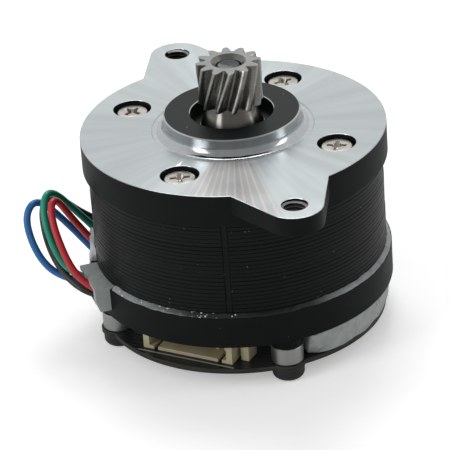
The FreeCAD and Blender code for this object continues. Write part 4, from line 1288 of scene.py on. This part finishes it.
@dataclass
class Stack:
    """The lamination stack's edges and the rear cap with its bead of sealant."""

    radius: float = 17.34
    inner_radius: float = 17.08
    top: float = -3.8
    sheet: float = 0.5
    sheets: int = 24
    sheet_gap: float = 0.1
    gap_depth: float = 0.08
    unevenness: float = 0.025
    seed: int = 4
    groove_width: float = 0.8
    groove_floor: float = 17.24
    groove_slit: float = 0.11
    groove_web: float = 0.05
    groove_angle: float = -22.5
    groove_out: float = 19.0
    groove_levels: Pair = (-17.0, -2.0)
    rear_top: float = -15.8
    rear_face: float = -19.6
    rear_edge: float = 0.22
    rim_from: float = 17.7
    boss_face: float = -20.9
    boss_edge: float = 0.12
    boss_to: float = 17.9
    bead_start: float = -76.0
    bead_sweep: float = 296.5
    bead_outline: Section = ((17.4, -15.34), (17.62, -15.5), (17.84, -15.7))
    bead_top: float = -15.3
    bead_radius: float = 17.88

    def build_sheets(self) -> None:
        """Turns the sheets' edges as a sleeve on the stack and cuts the stacking grooves."""
        wobble = random.Random(self.seed)
        section = [(self.inner_radius, self.top)]
        for number in range(self.sheets):
            level = self.top - number * self.sheet
            reach = self.radius + wobble.uniform(-self.unevenness, self.unevenness)
            section.append((reach, level - self.sheet_gap / 2))
            section.append((reach, level - self.sheet + self.sheet_gap / 2))
            section.append((self.radius - self.gap_depth, level - self.sheet))
        section.append((self.inner_radius, self.top - self.sheets * self.sheet))
        sleeve = Piece.turned("lamination_sleeve", section, steps=128)
        half = self.groove_width / 2
        deep = self.inner_radius + self.groove_web
        low, high = self.groove_levels
        cuts = (
            (self.groove_floor, -half, half),
            (deep, -half, self.groove_slit - half),
            (deep, half - self.groove_slit, half),
        )
        for quarter in QUARTERS:
            for floor, start, end in cuts:
                groove = Piece.block("groove", (floor, start, low), (self.groove_out, end, high))
                groove.mesh.transform(about_axis(self.groove_angle + quarter))
                sleeve.combine(groove, Solid.CUT)
        sleeve.dress(STACK_EDGE).done(Body.STATOR, "stator_stack")

    def build_rear_cap(self) -> None:
        """Takes the rear cap's solid and rounds its edges."""
        cap = Piece.copied_node("rear_end_cap", "rear_cap")
        cap.round_edges(self.rear_edge, 3, edges_at(self.rear_top, self.rear_face, over=self.rim_from))
        cap.round_edges(self.boss_edge, 2, edges_at(self.boss_face, under=self.boss_to))
        cap.dress(BLACK_COAT).done(Body.STATOR, "rear_end_cap", "rear_end_cap")

    def build_bead(self) -> None:
        """Spins the sealant in the corner between stack and rear cap, and makes it uneven."""
        bead = Piece.turned("seal_bead", [
            (self.inner_radius, self.rear_top),
            (self.inner_radius, self.bead_top),
            *self.bead_outline,
            (self.bead_radius, self.rear_top),
        ], steps=200, start=self.bead_start, sweep=self.bead_sweep)
        bead.modify("SUBSURF", levels=1, render_levels=1, subdivision_type="SIMPLE")
        bead.lumpy(height=0.16, width=0.9, middle=0.62)
        bead.dress(BEAD_SEALANT).done(Body.STATOR, "exit_seal")

    def build(self) -> None:
        """Builds the sleeve, the rear cap and the bead."""
        self.build_sheets()
        self.build_rear_cap()
        self.build_bead()


@dataclass
class Rotor:
    """The turning shaft and its helical pinion."""

    teeth: int = 12
    lead: float = 61.69
    phase: float = -31.64
    # half a tooth from root to tip: distances from the axis with half widths
    flank: Section = (
        (2.7, 0.6), (2.78, 0.545), (2.95, 0.505), (3.19, 0.46), (3.4, 0.4), (3.58, 0.33), (3.71, 0.24),
        (3.78, 0.13),
    )
    tip_radius: float = 3.8
    root_radius: float = 2.68
    tooth_low: float = 3.2
    tooth_edge: float = 0.05
    ends_from: float = 2.3
    end_slack: float = 0.1
    top: float = 8.3
    layers: int = 26
    hub_radius: float = 3.85
    hub_low: float = 0.3
    hub_high: float = 0.55
    hub_chamfer: float = 0.06
    hub_lap: float = 0.4
    hub_inset: float = 0.02
    hub_slope: float = 0.05
    hub_rim: float = 0.2
    turned_slack: float = 0.1
    ledge_radius: float = 3.7
    flare_top: float = 3.3
    flare_steps: int = 14
    flare_bend: float = 1.25
    bore_radius: float = 1.51
    sink_radius: float = 2.05
    sink_depth: float = 0.5
    sink_slope: float = 0.1
    sink_to: float = 2.2
    shaft_radius: float = 2.5
    shaft_low: float = -18.6
    shaft_chamfer: float = 0.28
    spigot_radius: float = 1.5
    spigot_top: float = 7.85
    dimple_radius: float = 0.3
    dimple_depth: float = 0.12
    end_depth: float = 1.0

    def gear_outline(self) -> list[Pair]:
        """The pinion's outline from above, each tooth with round tip and hollow root."""
        right = [(reach, -half) for reach, half in self.flank]
        left = self.flank[::-1]
        points = []
        for tooth in range(self.teeth):
            middle = math.radians(self.phase) + 2 * math.pi * tooth / self.teeth
            for reach, half in [*right, (self.tip_radius, 0.0), *left]:
                angle = middle + math.asin(half / reach)
                points.append((reach * math.cos(angle), reach * math.sin(angle)))
            gap = middle + math.pi / self.teeth
            points.append((self.root_radius * math.cos(gap), self.root_radius * math.sin(gap)))
        return points

    def hub_section(self) -> Section:
        """The hub's section with its trumpet-shaped flare."""
        flare = []
        for step in range(self.flare_steps + 1):
            share = step / self.flare_steps
            swell = (self.ledge_radius - self.root_radius) * (1 - share) ** self.flare_bend
            level = self.hub_high + (self.flare_top - self.hub_high) * share
            flare.append((self.root_radius + swell, level))
        inner = self.bore_radius - self.hub_lap
        top = self.top - self.hub_inset
        return [
            (inner, self.hub_low),
            (self.hub_radius, self.hub_low),
            (self.hub_radius, self.hub_high - self.hub_chamfer),
            (self.hub_radius - self.hub_chamfer, self.hub_high),
            *flare,
            (self.root_radius - self.hub_inset, top),
            (inner, top),
        ]

    def build_pinion(self) -> None:
        """Extrudes and twists the teeth, joins them to the flared hub and bores it."""
        gear = Piece.prism("pinion_gear", self.gear_outline(), self.tooth_low, self.top, self.layers)
        twist = (self.top - self.tooth_low) / self.lead * 2 * math.pi
        gear.modify("SIMPLE_DEFORM", deform_method="TWIST", deform_axis="Z", angle=twist)
        gear.combine(Piece.turned("hub", self.hub_section(), steps=96), Solid.JOIN)
        radius = self.bore_radius
        steep = (self.sink_radius - radius) / self.sink_depth
        low = self.top - self.sink_depth
        for name, level, height, top_radius in (
            ("bore_drill", 0.0, self.top + CUT_MARGIN, radius),
            ("sink_drill", low, CUT_MARGIN, radius + steep * CUT_MARGIN),
        ):
            drill = Piece.rod(name, radius, (0.0, 0.0, level), height, sides=64, top_radius=top_radius)
            gear.combine(drill, Solid.CUT)
        tooth_ends = edges_at(self.top, self.tooth_low, over=self.ends_from)
        gear.heal().round_edges(self.tooth_edge, 2, tooth_ends)
        gear.dress(DARK_STEEL, (PINION_END, self.is_end), (PINION_HUB, self.is_turned))
        gear.done(Body.ROTOR, "pinion", "pinion")

    def is_end(self, spot: Vector, normal: Vector) -> bool:
        """Whether a face is the pinion's upper end."""
        return normal.z > NEARLY_LEVEL and spot.z > self.top - self.end_slack

    def is_turned(self, spot: Vector, normal: Vector) -> bool:
        """Whether a face of the pinion was turned: its flared hub and its countersink."""
        reach = reach_of(spot)
        sideways = (spot.x * normal.y - spot.y * normal.x) / reach
        slopes = normal.z > self.hub_slope or reach > self.hub_radius - self.hub_rim
        on_hub = spot.z < self.flare_top and slopes
        leans = self.sink_slope < normal.z < NEARLY_LEVEL
        in_sink = spot.z > self.top - self.sink_depth and leans and reach < self.sink_to
        return abs(sideways) < self.turned_slack and (on_hub or in_sink)

    def build_shaft(self) -> None:
        """Turns the shaft with its chamfered ends."""
        slant = self.shaft_chamfer
        shaft = Piece.turned("turned_shaft", [
            (0.0, self.shaft_low),
            (self.shaft_radius - slant, self.shaft_low),
            (self.shaft_radius, self.shaft_low + slant),
            (self.shaft_radius, self.hub_low),
            (self.spigot_radius, self.hub_low),
            (self.spigot_radius, self.spigot_top - slant),
            (self.spigot_radius - slant, self.spigot_top),
            (self.dimple_radius, self.spigot_top),
            (0.0, self.spigot_top - self.dimple_depth),
        ], steps=64)
        shaft.dress(GROUND_STEEL, (SHAFT_END, lambda spot, normal: spot.z > self.spigot_top - self.end_depth))
        shaft.done(Body.ROTOR, "shaft", "shaft")

    def build(self) -> None:
        """Builds pinion and shaft."""
        self.build_pinion()
        self.build_shaft()


@dataclass
class DriverBoard:
    """The driver board with its spacers, screws, connector and gap filler."""

    screw_circle: float = 15.8
    board_low: float = -23.65
    board_top: float = -23.05
    board_edge: float = 0.04
    spacer_top: float = -20.9
    spacer_radius: float = 1.88
    spacer_bore: float = 1.3
    spacer_chamfer: float = 0.1
    spacer_turns: tuple[float, ...] = (0.0, 20.0, 40.0, 60.0)
    head_radius: float = 1.9
    head_low: float = -25.3
    crown_radius: float = 0.75
    shank_radius: float = 1.0
    shank_top: float = -18.7
    screw_turns: tuple[float, ...] = (10.0, 35.0, 52.0, 5.0)
    socket_radius: float = 0.9
    socket_depth: float = 1.0
    socket_margin: float = 0.5
    # the filler's foot: where its bulge begins from the axis, from its top and from its near end
    foot_from: float = 14.5
    foot_width: float = 1.4
    foot_height: float = 2.9
    foot_start: float = 9.5
    foot_sweep: float = 8.5
    foot_bulge: float = 1.0

    def build_board(self) -> None:
        """Takes the board's solid, breaks its edges and gives faces and edge their finishes."""
        board = Piece.copied_node("circuit_board", "driver_board")
        board.round_edges(self.board_edge, 1)
        board.dress(LAMINATE, (RESIST, lambda spot, normal: abs(normal.z) > NEARLY_LEVEL))
        board.done(Body.STATOR, "circuit_board", "circuit_board")

    def build_fasteners(self) -> None:
        """Turns the spacers and the round-headed screws with their hexagon sockets."""
        slant = self.spacer_chamfer
        spacer = Piece.turned("spacer_set", [
            (self.spacer_bore, self.spacer_top),
            (self.spacer_radius - slant, self.spacer_top),
            (self.spacer_radius, self.spacer_top - slant),
            (self.spacer_radius, self.board_top + slant),
            (self.spacer_radius - slant, self.board_top),
            (self.spacer_bore, self.board_top),
        ], steps=64)
        spacers = spacer.repeated(four_places(self.screw_circle, 0.0, self.spacer_turns))
        spacers.dress(SPACER_SKIN).done(Body.STATOR, "board_spacers", "board_spacers")
        crown = self.crown_radius
        screw = Piece.turned("board_screw_set", [
            (0.0, self.head_low),
            *arc((self.head_radius - crown, self.head_low + crown), crown, -90.0, 0.0, steps=8),
            (self.head_radius, self.board_low),
            (self.shank_radius, self.board_low),
            (self.shank_radius, self.shank_top),
            (0.0, self.shank_top),
        ], steps=48)
        low = (0.0, 0.0, self.head_low - self.socket_margin)
        socket = Piece.rod("hexagon", self.socket_radius, low, self.socket_margin + self.socket_depth, 6)
        screw.combine(socket, Solid.CUT).heal()
        screws = screw.repeated(four_places(self.screw_circle, 0.0, self.screw_turns))
        screws.dress(BLACK_SCREW).done(Body.STATOR, "board_screws", "board_screws")

    def build_connector(self) -> None:
        """Takes the solids of connector and side block and rounds their moulded edges."""
        for node, name, width in (
            ("connector_housing", "connector_shell", 0.06), ("side_block", "side_block_shell", 0.12),
        ):
            shell = Piece.copied_node(node, name)
            shell.round_edges(width, 2).dress(CREAM).done(Body.STATOR, node, node)

    def foot_push(self, spot: Vector) -> float:
        """How far a spot of the filler is pressed out: most at the board, nothing at the near end.

        Args:
            spot: a spot on the softened filler.

        Returns:
            The push away from the axis.
        """
        turn = math.degrees(math.atan2(spot.y, spot.x))
        along = min(max((turn - self.foot_start) / self.foot_sweep, 0.0), 1.0)
        depth = min(max(1.0 - (spot.z - self.board_top) / self.foot_height, 0.0), 1.0)
        outward = min(max((reach_of(spot) - self.foot_from) / self.foot_width, 0.0), 1.0)
        return self.foot_bulge * math.sin(along * math.pi / 2.0) * depth * outward

    def build_filler(self) -> None:
        """Softens the filler and bulges its foot to the board's edge, as if pressed there by the cap."""
        pad = Piece.copied_node("gap_filler", "filler_pad").soften(voxel=0.22, lump=0.3, lump_size=2.2)
        for vertex in pad.mesh.vertices:
            spot = vertex.co / MM
            vertex.co.xy = vertex.co.xy * (1.0 + self.foot_push(spot) / reach_of(spot))
        pad.dress(FILLER).done(Body.STATOR, "gap_filler", "gap_filler")

    def build(self) -> None:
        """Builds the board and all that it carries."""
        self.build_board()
        self.build_fasteners()
        self.build_connector()
        self.build_filler()


@dataclass(frozen=True)
class Lead:
    """One lead with its finish and its route's points."""

    node: str
    finish: Finish
    route: tuple[Point, ...]


LEADS = (
    Lead("blue_lead", BLUE_SKIN, (
        (-8.2, -16.1, -16.9), (-8.4, -19.0, -12.6), (-7.4, -22.6, -7.9), (-6.0, -24.7, -9.6),
        (-4.8, -23.7, -14.7), (-3.5, -21.2, -17.4), (-1.6, -18.2, -17.65),
    )),
    Lead("green_lead", GREEN_SKIN, (
        (-9.15, -15.25, -14.9), (-8.9, -17.6, -11.6), (-6.7, -21.2, -6.6), (-5.0, -22.7, -8.6),
        (-2.6, -22.0, -13.7), (-1.3, -20.15, -16.0), (-0.3, -18.2, -16.8),
    )),
    Lead("red_lead", RED_SKIN, (
        (-7.3, -16.25, -15.3), (-6.6, -18.5, -11.7), (-5.0, -21.1, -6.8), (-3.3, -22.1, -8.8),
        (-0.4, -21.3, -13.5), (0.9, -19.85, -16.0), (1.9, -18.2, -17.0),
    )),
    Lead("black_lead", BLACK_SKIN, (
        (-10.75, -14.3, -14.6), (-11.5, -16.1, -13.7), (-11.0, -19.4, -10.1), (-9.4, -21.9, -10.2),
        (-5.0, -22.2, -14.6), (0.4, -20.45, -17.15), (1.2, -18.2, -17.85),
    )),
)


@dataclass
class LeadExit:
    """The four leads, the sealant that they leave by and the guide that they enter."""

    radius: float = 0.43
    tail_start: float = -112.0
    tail_sweep: float = 11.5
    tail_section: Section = (
        (17.35, -14.9), (17.9, -15.0), (18.2, -15.7), (18.2, -16.9), (17.98, -17.3), (17.98, -15.78),
        (17.35, -15.78),
    )
    guide_edge: float = 0.12

    def build_lead(self, lead: Lead) -> None:
        """Lays one lead as a smooth line through its route's points."""
        name = f"{lead.node}_line"
        curve = bpy.data.curves.new(name, "CURVE")
        curve.dimensions = "3D"
        curve.resolution_u = 16
        curve.bevel_depth = self.radius * MM
        curve.bevel_resolution = 6
        curve.use_fill_caps = True
        spline = curve.splines.new("NURBS")
        spline.points.add(len(lead.route) - 1)
        for point, spot in zip(spline.points, lead.route):
            point.co = (*(Vector(spot) * MM), 1.0)
        spline.order_u = 3
        spline.use_endpoint_u = True
        curve.materials.append(lead.finish.material())
        hand_over(linked(name, curve), Body.STATOR, lead.node, lead.node)

    def build(self) -> None:
        """Builds the leads, the sealant and the guide."""
        for lead in LEADS:
            self.build_lead(lead)
        seal = Piece.copied_node("exit_seal", "exit_sealant")
        tail = Piece.turned(
            "seal_tail", self.tail_section, steps=12, start=self.tail_start, sweep=self.tail_sweep
        )
        seal.combine(tail, Solid.JOIN)
        seal.soften(voxel=0.12, lump=0.2, lump_size=1.6)
        seal.dress(SEALANT).done(Body.STATOR, "exit_seal", "exit_seal")
        guide = Piece.copied_node("lead_guide", "guide_block").round_edges(self.guide_edge, 3)
        guide.dress(GUIDE_GREY).done(Body.STATOR, "lead_guide", "lead_guide")


@dataclass(frozen=True)
class Lamp:
    """A soft rectangular lamp that faces the motor, in millimetres and watts."""

    name: str
    place: Point
    size: Pair
    power: float

    def build(self) -> None:
        """Hangs the lamp."""
        data = bpy.data.lights.new(self.name, "AREA")
        data.shape = "RECTANGLE"
        data.size = self.size[0] * MM
        data.size_y = self.size[1] * MM
        data.energy = self.power
        lamp = linked(self.name, data)
        lamp.location = Vector(self.place) * MM
        lamp.rotation_mode = "QUATERNION"
        lamp.rotation_quaternion = (-Vector(self.place)).to_track_quat("-Z", "Y")


LAMPS = (
    Lamp("overhead", (-190.0, 55.0, 375.0), (200.0, 200.0), 0.7),
    Lamp("left", (120.0, -420.0, 160.0), (160.0, 300.0), 0.7),
    Lamp("right", (160.0, 420.0, 200.0), (120.0, 260.0), 0.35),
)


@dataclass
class Studio:
    """A pale floor, soft lights and the camera at the photograph's angle."""

    azimuth: float = 73.92
    elevation: float = 27.95
    roll: float = -4.24
    distance: float = 328.65
    aim: Point = (23.2, -8.52, 0.0)
    lens: float = 240.0
    sensor: float = 36.0
    # in metres
    clip: Pair = (0.01, 20.0)
    floor_size: float = 6.0
    floor_gap: float = 1e-5
    floor_level: float = -25.3
    floor_tones: tuple[Colour, Colour] = ((0.93, 0.93, 0.93), (0.95, 0.95, 0.95))
    floor_lift: Colour = (0.35, 0.35, 0.35)
    ambient: float = 0.4
    dark_side: float = 0.45
    dark_range: Pair = (0.1, 0.75)

    def axes(self) -> tuple[Vector, Vector, Vector]:
        """The camera's right, up and back directions."""
        turn = math.radians(self.azimuth)
        rise = math.radians(self.elevation)
        back = Vector((
            math.sin(turn) * math.cos(rise), -math.cos(turn) * math.cos(rise), math.sin(rise)
        ))
        level = Vector((math.cos(turn), math.sin(turn), 0.0))
        upright = back.cross(level)
        lean = math.radians(self.roll)
        right = level * math.cos(lean) + upright * math.sin(lean)
        return right, back.cross(right), back

    def build_camera(self) -> None:
        """Sets the camera where the photograph was taken from."""
        right, upright, back = self.axes()
        data = bpy.data.cameras.new("camera")
        data.lens = self.lens
        data.sensor_width = self.sensor
        data.clip_start, data.clip_end = self.clip
        camera = linked("camera", data)
        place = (Vector(self.aim) + back * self.distance) * MM
        turn = Matrix((right, upright, back)).transposed().to_4x4()
        camera.matrix_world = Matrix.Translation(place) @ turn
        bpy.context.scene.camera = camera

    def build_world(self) -> None:
        """Surrounds the motor with soft white: full for camera and mirrors, darker behind the camera."""
        graph = Graph.of_world("studio")
        camera_ray = graph.ray_is("Camera")
        mirror_ray = graph.ray_is("Glossy") + graph.ray_is("Transmission")
        facing = graph.along(self.axes()[2])
        shade = 1.0 - facing.between(*self.dark_range) * (1.0 - self.dark_side)
        soft = 1.0 - camera_ray - mirror_ray
        level = camera_ray + mirror_ray * shade + soft * self.ambient
        bpy.context.scene.world = graph.finish({"Color": WHITE, "Strength": level})

    def build_floor(self) -> None:
        """Lays the pale floor under the board's screws."""
        bench()
        level = self.floor_level * MM - self.floor_gap
        bpy.ops.mesh.primitive_plane_add(size=self.floor_size, location=(0.0, 0.0, level))
        floor = bpy.context.object
        floor.name = "floor"
        graph = Graph.of_material("pale_floor")
        material = graph.finish({
            "Base Color": graph.mix(graph.noise(0.01, 2.0), *self.floor_tones),
            "Emission Color": graph.mix(graph.ray_is("Camera"), BLACK, self.floor_lift),
            "Emission Strength": 1.0,
            "Roughness": 0.9,
            "Specular IOR Level": 0.1,
        })
        floor.data.materials.append(material)

    def build(self) -> None:
        """Sets up the view, the floor, the world and the lamps."""
        bpy.context.scene.view_settings.view_transform = "Standard"
        self.build_camera()
        self.build_world()
        self.build_floor()
        for lamp in LAMPS:
            lamp.build()


def main() -> None:
    """Builds every sub-assembly and the studio."""
    logging.basicConfig(level=logging.INFO, format="%(name)s: %(message)s")
    dress_nodes()
    for assembly in (Studio(), LeadExit(), FrontCap(), Stack(), Rotor(), DriverBoard()):
        assembly.build()
        log.info("%s built", type(assembly).__name__)


if __name__ == "__main__":
    main()
